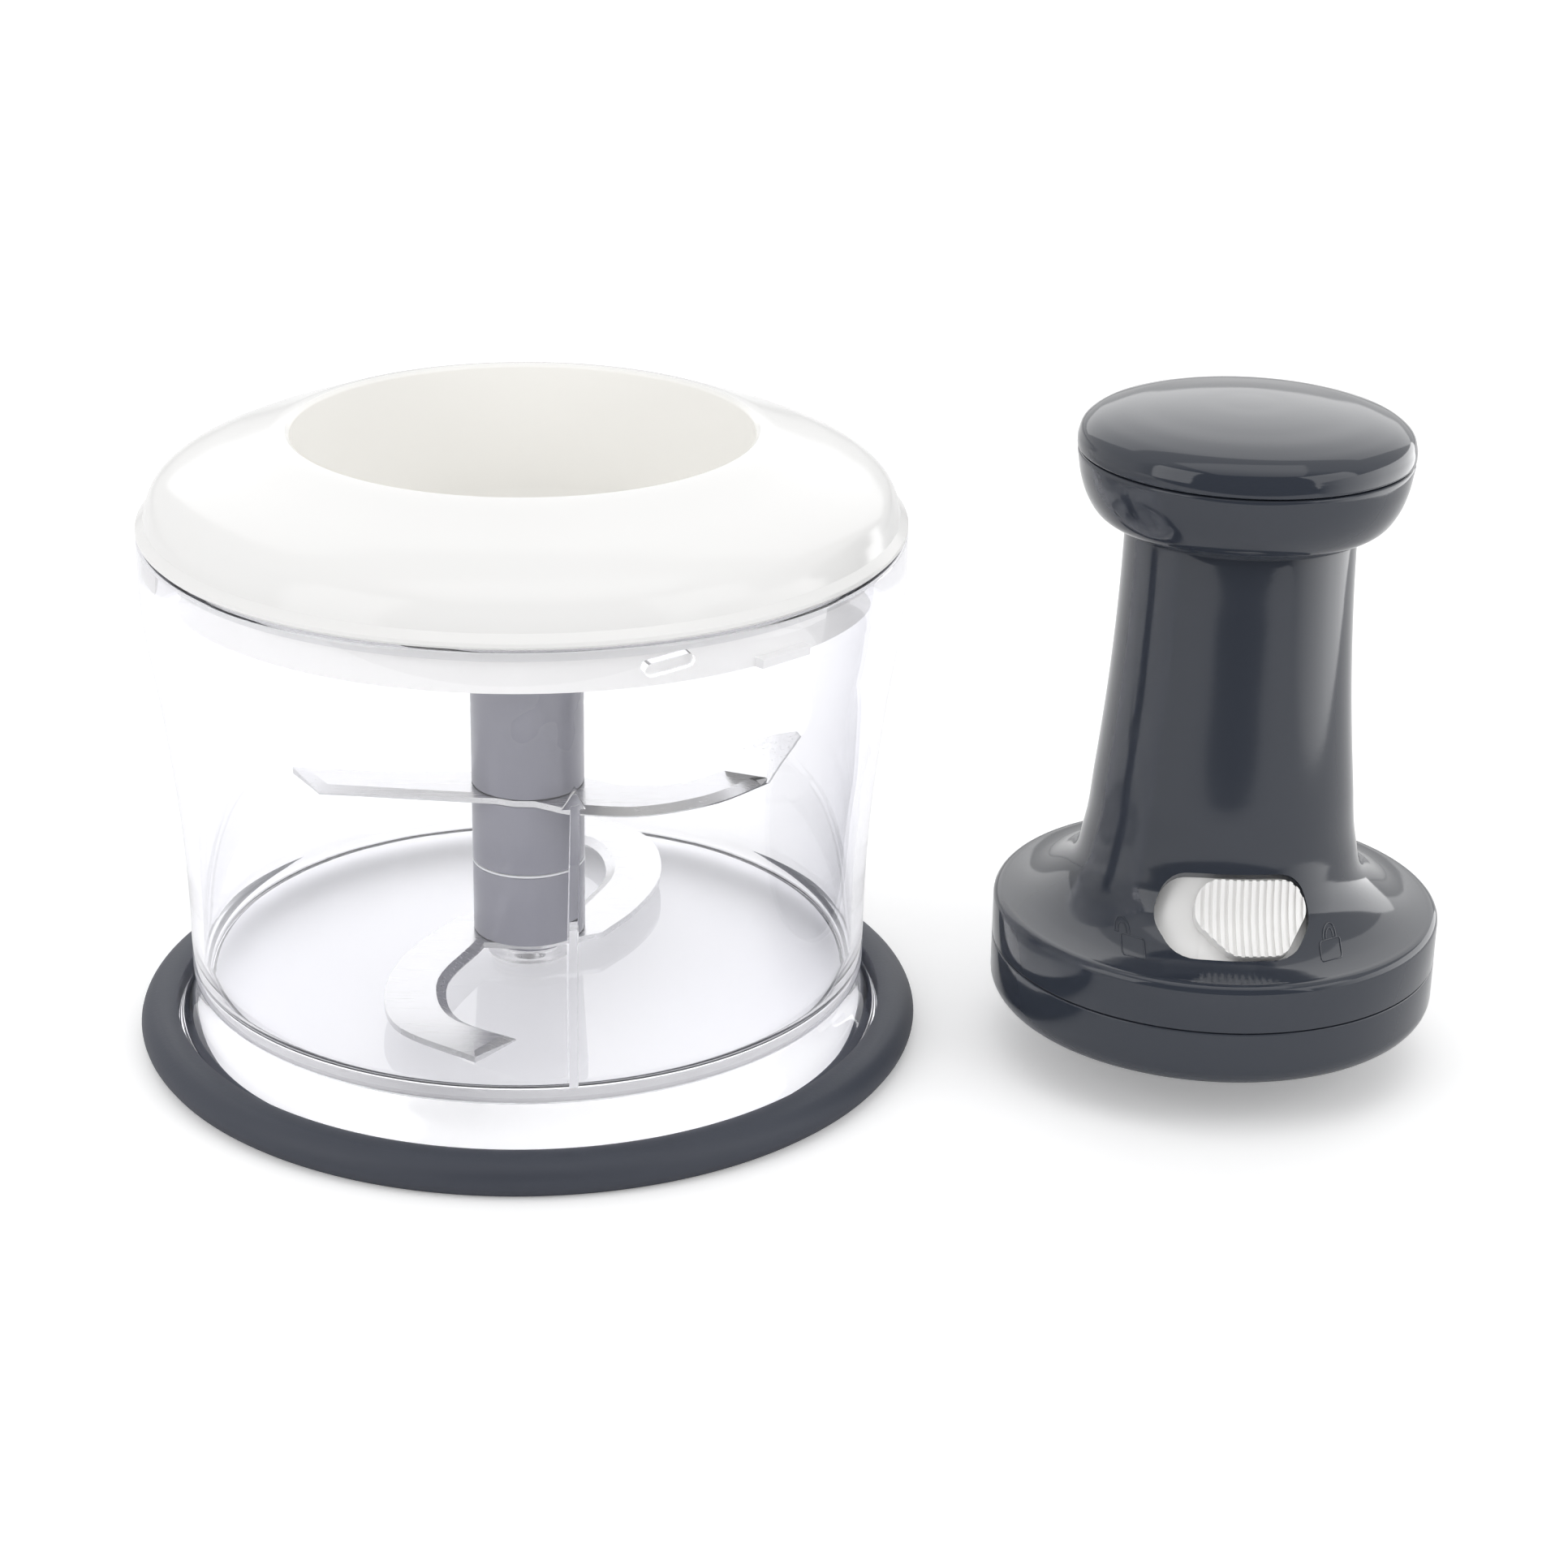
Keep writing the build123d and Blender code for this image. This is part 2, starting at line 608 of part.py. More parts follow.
def window_block(corners, sag):
    """A block through the bell's wall with a rounded outline drawn on the window's slanting face."""
    top_left, top_right, right, low_right, low_left, left = corners
    middle = (top_left[0] + top_right[0]) / 2, (top_left[1] + top_right[1]) / 2 + sag[0]
    foot = (low_left[0] + low_right[0]) / 2, (low_left[1] + low_right[1]) / 2 + sag[1]
    with BuildPart() as block:
        with BuildSketch(window_plane) as outline:
            with BuildLine():
                ThreePointArc(top_left, middle, top_right)
                Polyline(top_right, right, low_right)
                ThreePointArc(low_right, foot, low_left)
                Polyline(low_left, left, top_left)
            make_face()
            fillet(outline.vertices(), window_round)
        extrude(amount=window_reach, both=True)
    return block.part


window_cut = window_block(window_corners, window_sag)

with BuildPart() as column_housing:
    with BuildSketch(head_section):
        with BuildLine():
            outer_line = Spline(*bell_line)
            inner_line = Spline(*bell_inner[1:])
            Line(outer_line @ 1, inner_line @ 1)
            Polyline(inner_line @ 0, (base_radius - head_wall, shoulder_top - head_wall - 1.2),
                     (base_radius - head_wall, shell_foot), (base_radius, shell_foot),
                     (base_radius, shoulder_top - shoulder_round))
            TangentArc((base_radius, shoulder_top - shoulder_round), outer_line @ 0, tangent=(0, 1))
        make_face()
    revolve(axis=head_axis)
    # screw posts
    with BuildSketch(head_floor.offset(underside + cover_thickness + seat_gap)):
        with PolarLocations(post_circle, 3, start_angle=post_angle):
            Circle(post_radius)
    extrude(amount=shoulder_top + post_bite - underside - cover_thickness - seat_gap)
    with BuildSketch(head_floor.offset(underside + cover_thickness + seat_gap)):
        with PolarLocations(post_circle, 3, start_angle=post_angle):
            Circle(screw_radius + seat_gap / 2)
    extrude(amount=screw_length, mode=Mode.SUBTRACT)
    add(window_cut, mode=Mode.SUBTRACT)
column_housing.part.label = "column_housing"

with BuildPart() as base_ring:
    with BuildSketch(head_section):
        with BuildLine():
            Line((cover_radius + seat_gap, underside), (base_radius - base_round, underside))
            TangentArc((base_radius - base_round, underside), (base_radius, underside + base_round),
                       tangent=(1, 0))
            inner_wall = base_radius - head_wall
            Polyline((base_radius, underside + base_round),
                     (base_radius, seam), (inner_wall - seat_gap, seam),
                     (inner_wall - seat_gap, seam + lip_rise), (inner_wall - lip_thickness, seam + lip_rise),
                     (inner_wall - lip_thickness, underside + base_round + 0.6),
                     (base_radius - base_round - 0.9, underside + cover_thickness),
                     (cover_radius + seat_gap, underside + cover_thickness),
                     (cover_radius + seat_gap, underside))
        make_face()
    revolve(axis=head_axis)
base_ring.part.label = "base_ring"

spigot_inner = spigot_radius - spigot_wall
socket_foot = socket_lift
clutch_foot = socket_foot + socket_height + free_gap
circlip_foot = clutch_foot + clutch_height + free_gap
bearing_foot = circlip_foot + circlip_height + free_gap
bearing_top = bearing_foot + bearing_height
rod_flange_foot = bearing_top + free_gap
tower_top = rod_flange_foot + rod_flange_height + free_gap
with BuildPart() as bottom_cover:
    with BuildSketch(head_floor.offset(underside)):
        Circle(cover_radius)
    extrude(amount=cover_thickness)
    with BuildSketch(head_floor):
        Circle(spigot_radius)
    extrude(amount=tower_top)
    with BuildSketch(head_floor):
        Circle(spigot_inner)
    extrude(amount=tower_top, mode=Mode.SUBTRACT)
    with BuildSketch(head_floor.offset(underside)):
        with PolarLocations(post_circle, 3, start_angle=post_angle):
            Circle(screw_radius + seat_gap)
    extrude(amount=cover_thickness, mode=Mode.SUBTRACT)
    with BuildSketch(head_floor.offset(underside)):
        with PolarLocations(post_circle, 3, start_angle=post_angle):
            Circle(screw_head_radius + seat_gap)
    extrude(amount=screw_head_height + seat_gap, mode=Mode.SUBTRACT)
    chamfer(bottom_cover.edges().group_by(Axis.Z)[0].sort_by(SortBy.RADIUS)[-1], 0.6)
bottom_cover.part.label = "bottom_cover"

with BuildPart() as base_screws:
    with BuildSketch(head_floor.offset(underside)):
        with PolarLocations(post_circle, 3, start_angle=post_angle):
            Circle(screw_head_radius)
    extrude(amount=screw_head_height)
    with BuildSketch(head_floor.offset(underside + screw_head_height)):
        with PolarLocations(post_circle, 3, start_angle=post_angle):
            Circle(screw_radius)
    extrude(amount=screw_length)
    # cross recesses
    with BuildSketch(head_floor.offset(underside)):
        with PolarLocations(post_circle, 3, start_angle=post_angle):
            Rectangle(screw_head_radius * 1.2, 0.6)
            Rectangle(0.6, screw_head_radius * 1.2)
    extrude(amount=0.8, mode=Mode.SUBTRACT)
base_screws.part.label = "base_screws"

with BuildPart() as rod_bearing:
    with BuildSketch(head_floor.offset(bearing_foot)):
        Circle(spigot_inner - seat_gap)
        Circle(rod_journal_radius + running_fit, mode=Mode.SUBTRACT)
    extrude(amount=bearing_height)
rod_bearing.part.label = "rod_bearing"

with BuildPart() as spring_seat:
    with BuildSketch(head_floor.offset(tower_top + seat_gap)):
        Circle(spigot_radius + 0.6)
        Circle(spring_radius - spring_wire - 1.4, mode=Mode.SUBTRACT)
    extrude(amount=spring_seat_height - seat_gap)
    with BuildSketch(head_floor.offset(tower_top + spring_seat_height)):
        Circle(spigot_radius + 0.6)
        Circle(spring_radius + spring_wire + 0.5, mode=Mode.SUBTRACT)
    extrude(amount=1.2)
spring_seat.part.label = "spring_seat"

# ---------------------------------------------------------------- lock: track, pad and bolt
def bell_shell(near, far, first, last, start_angle, end_angle):
    """Part of the bell's wall between two depths inside its outer face, turned through an angle."""
    near_line = inset(bell_line, near)[first:last]
    far_line = inset(bell_line, far)[first:last]
    with BuildPart() as shell:
        with BuildSketch(section_at(head_x, head_y, start_angle)):
            with BuildLine():
                face = Spline(*near_line)
                back = Spline(*far_line)
                Line(face @ 0, back @ 0)
                Line(face @ 1, back @ 1)
            make_face()
        revolve(axis=head_axis, revolution_arc=end_angle - start_angle)
    return shell.part


pad_centre = window_angle + pad_offset
track_face = head_wall + track_gap
# The stem runs inwards, square to the bell at the middle of the window
bell_middle = ((bell_line[3][0] + bell_line[4][0]) / 2, (bell_line[3][1] + bell_line[4][1]) / 2)
bell_slope = (bell_line[4][0] - bell_line[3][0], bell_line[4][1] - bell_line[3][1])
inward = (-bell_slope[1] / hypot(*bell_slope), bell_slope[0] / hypot(*bell_slope))
stem_angle = degrees(atan2(inward[1], inward[0]))
stem_reach = stem_length + stem_start
stem_centre = stem_length / 2 + stem_start
stem_middle = (bell_middle[0] + inward[0] * stem_centre, bell_middle[1] + inward[1] * stem_centre)
stem_end = (bell_middle[0] + inward[0] * stem_reach, bell_middle[1] + inward[1] * stem_reach)

with BuildPart() as slider_track:
    add(bell_shell(track_face, track_face + track_thickness, 1, 6,
                   window_angle - track_half_angle, window_angle + track_half_angle))
    with BuildSketch(section_at(head_x, head_y, pad_centre - stem_half_angle - lock_turn - slot_margin)):
        with Locations(stem_middle):
            Rectangle(stem_length + 2, stem_height + 2 * free_gap, rotation=stem_angle)
    slot_arc = 2 * stem_half_angle + lock_turn + 2 * slot_margin
    revolve(axis=head_axis, revolution_arc=slot_arc, mode=Mode.SUBTRACT)
slider_track.part.label = "slider_track"

pad_left, pad_right = pad_corners[0][0], pad_corners[2][0]
pad_start = window_angle - pad_spread
pad_end = window_angle + pad_spread
with BuildPart() as pad_grooves:
    with BuildSketch(window_plane):
        with Locations(((pad_left + pad_right) / 2, 0)):
            with GridLocations(pad_rib_pitch, 0, pad_ribs, 1):
                Rectangle(pad_groove_width, 2 * window_reach + 2 * pad_right)
    extrude(amount=window_reach, both=True)
    add(bell_shell(-pad_proud - 1.0, -pad_proud + pad_groove_depth, 0, 7, pad_start, pad_end),
        mode=Mode.INTERSECT)

with BuildPart() as lock_slider:
    add(bell_shell(-pad_proud, track_face - free_gap, 0, 7, pad_start, pad_end))
    add(window_block(pad_corners, pad_sag), mode=Mode.INTERSECT)
    add(pad_grooves.part, mode=Mode.SUBTRACT)
    with BuildSketch(section_at(head_x, head_y, pad_centre - stem_half_angle)):
        with Locations(stem_middle):
            Rectangle(stem_length, stem_height, rotation=stem_angle)
    revolve(axis=head_axis, revolution_arc=2 * stem_half_angle)
lock_slider.part.label = "lock_slider"

# ---------------------------------------------------------------- knob and piston
knob_under = column_top + free_gap
knob_floor = knob_under + knob_wall
skirt_rim = knob_under + knob_skirt_height
web_foot = knob_floor + seat_gap
web_top = web_foot + piston_flange_height
piston_foot = web_foot - piston_length
carrier_foot = web_foot - carrier_length
nut_middle = carrier_foot + nut_height / 2
collar_radius = piston_radius + piston_collar
cap_foot = skirt_rim + seam_gap

with BuildPart() as lock_bolt:
    nose_foot = piston_foot + piston_collar_height + nose_clearance
    nose_radius = collar_radius + nose_gap
    arm_inner = nose_radius + bolt_hook
    arm_outer = arm_inner + bolt_arm
    end_centre = (stem_end[0] + inward[0] * seat_gap, stem_end[1] + inward[1] * seat_gap)
    upper = (end_centre[0] + inward[1] * stem_height / 2, end_centre[1] - inward[0] * stem_height / 2)
    lower = (end_centre[0] - inward[1] * stem_height / 2, end_centre[1] + inward[0] * stem_height / 2)
    with BuildSketch(section_at(head_x, head_y, pad_centre - bolt_half_angle)):
        with BuildLine():
            arm_foot = lower[1] - bolt_drop
            Polyline(upper, lower, (lower[0] - bolt_step, arm_foot), (arm_inner, arm_foot),
                     (arm_inner, nose_foot), (nose_radius, nose_foot), (nose_radius, nose_foot + bolt_height),
                     (arm_outer, nose_foot + bolt_height), (arm_outer, upper[1] + bolt_shoulder), close=True)
        make_face()
    revolve(axis=head_axis, revolution_arc=2 * bolt_half_angle)
lock_bolt.part.label = "lock_bolt"

skirt_flare = knob_radius - seat_gap - knob_skirt_foot
skirt_line = [(knob_skirt_foot + skirt_flare * out, knob_under + knob_skirt_height * up)
              for out, up in ((0.0, 0.0), (0.41, 0.13), (0.70, 0.35), (0.89, 0.63), (1.0, 1.0))]
skirt_inner = inset(skirt_line, knob_wall)
with BuildPart() as knob_skirt:
    with BuildSketch(head_section):
        with BuildLine():
            tray_outer = Spline(*skirt_line)
            tray_inner = Spline(*skirt_inner[1:-1], (skirt_line[-1][0] - knob_wall, skirt_rim))
            Line(tray_outer @ 1, tray_inner @ 1)
            collar_bore = piston_radius + seat_gap
            Polyline(tray_inner @ 0, (knob_skirt_foot - 0.9, knob_floor), (collar_bore, knob_floor),
                     (collar_bore, knob_under), tray_outer @ 0)
        make_face()
    revolve(axis=head_axis)
    with BuildSketch(head_floor.offset(knob_under + 0.4)):
        with PolarLocations(knob_screw_circle, 3):
            Circle(knob_screw_radius + seat_gap / 2)
    extrude(amount=knob_wall, mode=Mode.SUBTRACT)
knob_skirt.part.label = "knob_skirt"

cap_line = [(knob_radius * out, cap_foot + cap_height * up)
            for out, up in ((1.0, 0.22), (0.977, 0.44), (0.917, 0.62), (0.81, 0.755), (0.578, 0.90),
                            (0.33, 0.975), (0.0, 1.0))]
cap_inner = inset(cap_line, knob_wall)
with BuildPart() as knob_cap:
    with BuildSketch(head_section):
        with BuildLine():
            dome_outer = Spline(*cap_line)
            dome_inner = Spline(*cap_inner[3:-1], (0, cap_foot + cap_height - knob_wall))
            Line(dome_outer @ 1, dome_inner @ 1)
            cap_lip_inner = (dome_inner @ 0).X
            cap_lip_outer = cap_lip_inner + cap_lip
            cap_lip_foot = cap_foot - cap_lip_drop
            Polyline(dome_inner @ 0, (cap_lip_inner, cap_lip_foot), (cap_lip_outer, cap_lip_foot),
                     (cap_lip_outer, cap_foot), (knob_radius, cap_foot), dome_outer @ 0)
        make_face()
    revolve(axis=head_axis)
knob_cap.part.label = "knob_cap"

with BuildPart() as knob_screws:
    with BuildSketch(head_floor.offset(knob_under + 0.6)):
        with PolarLocations(knob_screw_circle, 3):
            Circle(knob_screw_radius)
    extrude(amount=web_top - knob_under - 0.6)
    with BuildSketch(head_floor.offset(web_top)):
        with PolarLocations(knob_screw_circle, 3):
            Circle(knob_screw_head)
    extrude(amount=1.1)
knob_screws.part.label = "knob_screws"

with BuildPart() as piston_tube:
    with BuildSketch(head_floor.offset(piston_foot)):
        Circle(piston_radius)
    extrude(amount=piston_length)
    with BuildSketch(head_floor.offset(piston_foot)):
        Circle(collar_radius)
    extrude(amount=piston_collar_height)
    with BuildSketch(head_floor.offset(piston_foot)):
        Circle(piston_radius - piston_wall)
    extrude(amount=piston_length, mode=Mode.SUBTRACT)
    with BuildSketch(head_floor.offset(web_foot)):
        Circle(piston_flange_radius)
        Circle(carrier_radius + seat_gap, mode=Mode.SUBTRACT)
        with PolarLocations(knob_screw_circle, 3):
            Circle(knob_screw_radius + seat_gap, mode=Mode.SUBTRACT)
    extrude(amount=piston_flange_height)
piston_tube.part.label = "piston_tube"

with BuildPart() as nut_carrier:
    with BuildSketch(head_floor.offset(carrier_foot)):
        Circle(carrier_radius)
    extrude(amount=web_top - carrier_foot + seat_gap)
    with BuildSketch(head_floor.offset(web_top + seat_gap)):
        Circle(carrier_flange_radius)
    extrude(amount=carrier_flange_height)
    with BuildSketch(head_floor.offset(carrier_foot)):
        Circle(carrier_radius - carrier_wall)
    carrier_height = carrier_length + piston_flange_height + seat_gap + carrier_flange_height
    extrude(amount=carrier_height, mode=Mode.SUBTRACT)
nut_carrier.part.label = "nut_carrier"

with BuildPart() as helical_nut:
    with BuildSketch(head_floor.offset(carrier_foot)):
        Circle(carrier_radius - carrier_wall - seat_gap)
        Circle(rod_radius + free_gap, mode=Mode.SUBTRACT)
    extrude(amount=nut_height)
    # two pegs that ride in the rod's grooves
    for peg_angle in (0, 180):
        with BuildSketch(facing(head_x, head_y, peg_angle, rod_radius - 0.6, nut_middle)):
            Circle(nut_peg_radius)
        extrude(amount=1.6)
helical_nut.part.label = "helical_nut"

with BuildPart() as guide_bush:
    with BuildSketch(head_floor.offset(column_top - guide_height)):
        Circle(column_radius - head_wall - seat_gap)
        Circle(piston_radius + free_gap, mode=Mode.SUBTRACT)
    extrude(amount=guide_height - seat_gap)
guide_bush.part.label = "guide_bush"

# ---------------------------------------------------------------- drive and spring
rod_foot = rod_flange_foot + rod_flange_height
groove_end = rod_foot + rod_length + 4
# The second groove starts half a turn lower, so that it runs opposite the first
groove_paths = []
for groove_turns in (1.0, 1.5):
    groove_start = nut_middle - groove_turns * rod_lead
    with BuildLine(head_floor.offset(groove_start)) as groove_path:
        Helix(pitch=rod_lead, height=groove_end - groove_start, radius=rod_radius)
    groove_paths.append(groove_path)

with BuildPart() as drive_rod:
    with BuildSketch(head_floor.offset(rod_foot)):
        Circle(rod_radius)
    extrude(amount=rod_length)
    chamfer(drive_rod.edges().sort_by(Axis.Z)[-1], 0.6)
    for groove_path in groove_paths:
        start = groove_path.line @ 0
        heading = groove_path.line % 0
        with BuildSketch(Plane(origin=start, z_dir=heading)):
            Circle(groove_radius)
        sweep(path=groove_path.line, is_frenet=True, mode=Mode.SUBTRACT)
    with BuildSketch(head_floor.offset(rod_flange_foot)):
        Circle(rod_flange_radius)
    extrude(amount=rod_flange_height)
    with BuildSketch(head_floor.offset(clutch_foot)):
        Circle(rod_journal_radius)
    extrude(amount=rod_flange_foot - clutch_foot)
    with BuildSketch(head_floor.offset(clutch_foot)):
        Circle(socket_pilot_radius + running_fit)
    extrude(amount=socket_pilot_height + 0.4, mode=Mode.SUBTRACT)
drive_rod.part.label = "drive_rod"

with BuildPart() as clutch_hub:
    with BuildSketch(head_floor.offset(clutch_foot)):
        Circle(clutch_radius)
        Circle(rod_journal_radius + seat_gap / 2, mode=Mode.SUBTRACT)
    extrude(amount=clutch_height)
    # ratchet teeth round the rim
    with BuildSketch(head_floor.offset(clutch_foot)):
        with PolarLocations(clutch_radius, 12):
            Rectangle(1.6, 1.4)
    extrude(amount=clutch_height, mode=Mode.SUBTRACT)
clutch_hub.part.label = "clutch_hub"

with BuildPart() as rod_circlip:
    with BuildSketch(head_floor.offset(circlip_foot)):
        Circle(circlip_radius)
        Circle(rod_journal_radius + seat_gap / 2, mode=Mode.SUBTRACT)
        with Locations((circlip_radius, 0)):
            Rectangle(2 * circlip_radius, circlip_opening, mode=Mode.SUBTRACT)
    extrude(amount=circlip_height)
rod_circlip.part.label = "rod_circlip"

with BuildPart() as drive_socket:
    with BuildSketch(head_floor.offset(socket_foot)):
        Circle(spigot_inner - socket_wall_gap)
    extrude(amount=socket_height)
    with BuildSketch(head_floor.offset(socket_foot)):
        RegularPolygon((hex_across_flats + socket_slack) / 2, 6, major_radius=False)
    extrude(amount=socket_depth, mode=Mode.SUBTRACT)
    with BuildSketch(head_floor.offset(socket_foot + socket_height)):
        Circle(socket_pilot_radius)
    extrude(amount=socket_pilot_height)
    chamfer(drive_socket.edges().group_by(Axis.Z)[0], 0.4)
drive_socket.part.label = "drive_socket"

spring_foot = tower_top + spring_seat_height + seat_gap + spring_wire
spring_height = web_foot - seat_gap - spring_wire - spring_foot
with BuildLine(head_floor.offset(spring_foot)) as coil:
    Helix(pitch=spring_height / spring_turns, height=spring_height, radius=spring_radius)
with BuildPart() as return_spring:
    with BuildSketch(Plane(origin=coil.line @ 0, z_dir=coil.line % 0)):
        Circle(spring_wire)
    sweep(path=coil.line, is_frenet=True)
return_spring.part.label = "return_spring"

for piece in (bowl, nonslip_ring, pivot_pin, spindle_core, pivot_bush, lower_sleeve, hub_spacer,
              middle_sleeve, upper_sleeve, lower_blade, upper_blade, lid_shell, lid_inner_ring, lid_seal,
              lid_bush, column_housing, base_ring, bottom_cover, base_screws, rod_bearing, spring_seat,
              guide_bush, slider_track, lock_slider, lock_bolt, knob_skirt, knob_cap, knob_screws,
              piston_tube, nut_carrier, helical_nut, drive_rod, clutch_hub, rod_circlip, drive_socket,
              return_spring):
    export_step(piece.part, f"parts/{piece.part.label}.step")
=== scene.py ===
from math import cos, pi, radians, sin

import bpy
from mathutils import Matrix, Vector


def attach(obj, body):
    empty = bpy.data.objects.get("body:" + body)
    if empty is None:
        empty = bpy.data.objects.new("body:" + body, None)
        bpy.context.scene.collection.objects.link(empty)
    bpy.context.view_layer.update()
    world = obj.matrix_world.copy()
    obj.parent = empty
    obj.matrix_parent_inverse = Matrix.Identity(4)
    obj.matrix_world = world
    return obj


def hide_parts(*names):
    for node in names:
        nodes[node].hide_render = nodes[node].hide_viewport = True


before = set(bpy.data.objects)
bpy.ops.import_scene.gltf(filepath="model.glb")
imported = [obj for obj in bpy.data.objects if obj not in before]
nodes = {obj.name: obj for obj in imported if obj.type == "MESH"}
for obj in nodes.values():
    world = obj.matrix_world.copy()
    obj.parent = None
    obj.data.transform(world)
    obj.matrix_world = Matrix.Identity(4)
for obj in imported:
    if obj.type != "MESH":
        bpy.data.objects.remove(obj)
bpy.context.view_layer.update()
mm = 0.001
bpy.context.scene.view_settings.view_transform = 'Standard'

# ---------------------------------------------------------------- camera
# A long lens at a seated onlooker's height, looking down a little on the bowl's
# lid, with a slight lean to the right.
looking_down = 0.39002
lean = 0.018876
eye = Vector((-0.644, -591.421, 292.223)) * mm
onlooker = bpy.data.cameras.new("onlooker")
onlooker.sensor_width = 36
onlooker.lens = 77.99
camera = bpy.data.objects.new("onlooker", onlooker)
bpy.context.scene.collection.objects.link(camera)
ahead = Vector((0, cos(looking_down), -sin(looking_down)))
upward = Vector((0, sin(looking_down), cos(looking_down)))
level = Vector((1, 0, 0))
camera_right = cos(lean) * level + sin(lean) * upward
camera_up = cos(lean) * upward - sin(lean) * level
camera_axes = Matrix((camera_right, camera_up, -ahead)).transposed().to_4x4()
camera.matrix_world = Matrix.Translation(eye) @ camera_axes
bpy.context.scene.camera = camera

# ---------------------------------------------------------------- studio
# A white table top whose near edge lies just below the view, a white room, soft boxes
# (one overhead, a large one behind and one at each side of the onlooker) and a bright card.
table_size = 8.0
near_edge = -0.335
bpy.ops.object.select_all(action='DESELECT')
bpy.ops.mesh.primitive_grid_add(x_subdivisions=8, y_subdivisions=8, size=table_size,
                                location=(0, near_edge + table_size / 2, -0.0001))
table = bpy.context.object
table.name = "table_top"
table_white = bpy.data.materials.new("table_white")
table_white.use_nodes = True
tree = table_white.node_tree
cloth = tree.nodes["Principled BSDF"]
cloth.inputs["Roughness"].default_value = 0.9
cloth.inputs["Specular IOR Level"].default_value = 0.0
place = tree.nodes.new("ShaderNodeTexCoord")
grain = tree.nodes.new("ShaderNodeTexNoise")
grain.inputs["Scale"].default_value = 3
tone = tree.nodes.new("ShaderNodeMix")
tone.data_type = 'RGBA'
tone.inputs[6].default_value = (0.95, 0.95, 0.955, 1)
tone.inputs[7].default_value = (0.97, 0.97, 0.97, 1)
tree.links.new(place.outputs["Object"], grain.inputs["Vector"])
tree.links.new(grain.outputs["Fac"], tone.inputs[0])
tree.links.new(tone.outputs[2], cloth.inputs["Base Color"])
# what looks at the table sees it a little paler than the lamps alone make it
sight = tree.nodes.new("ShaderNodeLightPath")
onlooking = tree.nodes.new("ShaderNodeMath")
onlooking.operation = 'MAXIMUM'
tree.links.new(sight.outputs["Is Camera Ray"], onlooking.inputs[0])
tree.links.new(sight.outputs["Is Transmission Ray"], onlooking.inputs[1])
paler = tree.nodes.new("ShaderNodeMath")
paler.operation = 'MULTIPLY'
paler.inputs[1].default_value = 0.23
tree.links.new(onlooking.outputs[0], paler.inputs[0])
tree.links.new(paler.outputs[0], cloth.inputs["Emission Strength"])
cloth.inputs["Emission Color"].default_value = (1, 1, 1, 1)
table.data.materials.append(table_white)

room = bpy.data.worlds.new("white_room")
bpy.context.scene.world = room
room.use_nodes = True
tree = room.node_tree
walls = tree.nodes["Background"]
walls.inputs["Color"].default_value = (1, 1, 1, 1)
direction = tree.nodes.new("ShaderNodeTexCoord")
split = tree.nodes.new("ShaderNodeSeparateXYZ")
tree.links.new(direction.outputs["Generated"], split.inputs[0])
# in reflections the wall behind the onlooker is dark and the others are white
behind = tree.nodes.new("ShaderNodeMapRange")
behind.inputs["From Min"].default_value = -0.55
behind.inputs["From Max"].default_value = -0.05
behind.inputs["To Min"].default_value = 0.10
behind.inputs["To Max"].default_value = 0.95
tree.links.new(split.outputs["Y"], behind.inputs["Value"])
sight = tree.nodes.new("ShaderNodeLightPath")
lit = tree.nodes.new("ShaderNodeMix")
lit.inputs[2].default_value = 0.60
tree.links.new(sight.outputs["Is Glossy Ray"], lit.inputs[0])
tree.links.new(behind.outputs["Result"], lit.inputs[3])
seen = tree.nodes.new("ShaderNodeMath")
seen.operation = 'MAXIMUM'
tree.links.new(sight.outputs["Is Camera Ray"], seen.inputs[0])
tree.links.new(sight.outputs["Is Transmission Ray"], seen.inputs[1])
white_out = tree.nodes.new("ShaderNodeMix")
white_out.inputs[3].default_value = 1.0
tree.links.new(seen.outputs[0], white_out.inputs[0])
tree.links.new(lit.outputs[0], white_out.inputs[2])
tree.links.new(white_out.outputs[0], walls.inputs["Strength"])

for name, spot, aim, width, height, brightness in (
        ("box_over", (0.05, -0.30, 1.1), (0.0, 0.0, 0.0), 1.0, 0.9, 0.8),
        ("box_left", (-0.75, -0.55, 0.45), (0.05, 0.0, 0.06), 0.55, 0.8, 1.8),
        ("box_right", (0.80, -0.50, 0.45), (0.05, 0.0, 0.06), 0.55, 0.8, 1.8),
        ("box_back", (0.10, 1.15, 0.95), (0.05, 0.0, 0.12), 2.2, 1.4, 0.85)):
    lamp = bpy.data.lights.new(name, 'AREA')
    lamp.shape = 'RECTANGLE'
    lamp.size = width
    lamp.size_y = height
    lamp.energy = brightness * pi * width * height
    box = bpy.data.objects.new(name, lamp)
    bpy.context.scene.collection.objects.link(box)
    box.location = spot
    box.rotation_euler = (Vector(aim) - Vector(spot)).to_track_quat('-Z', 'Y').to_euler()

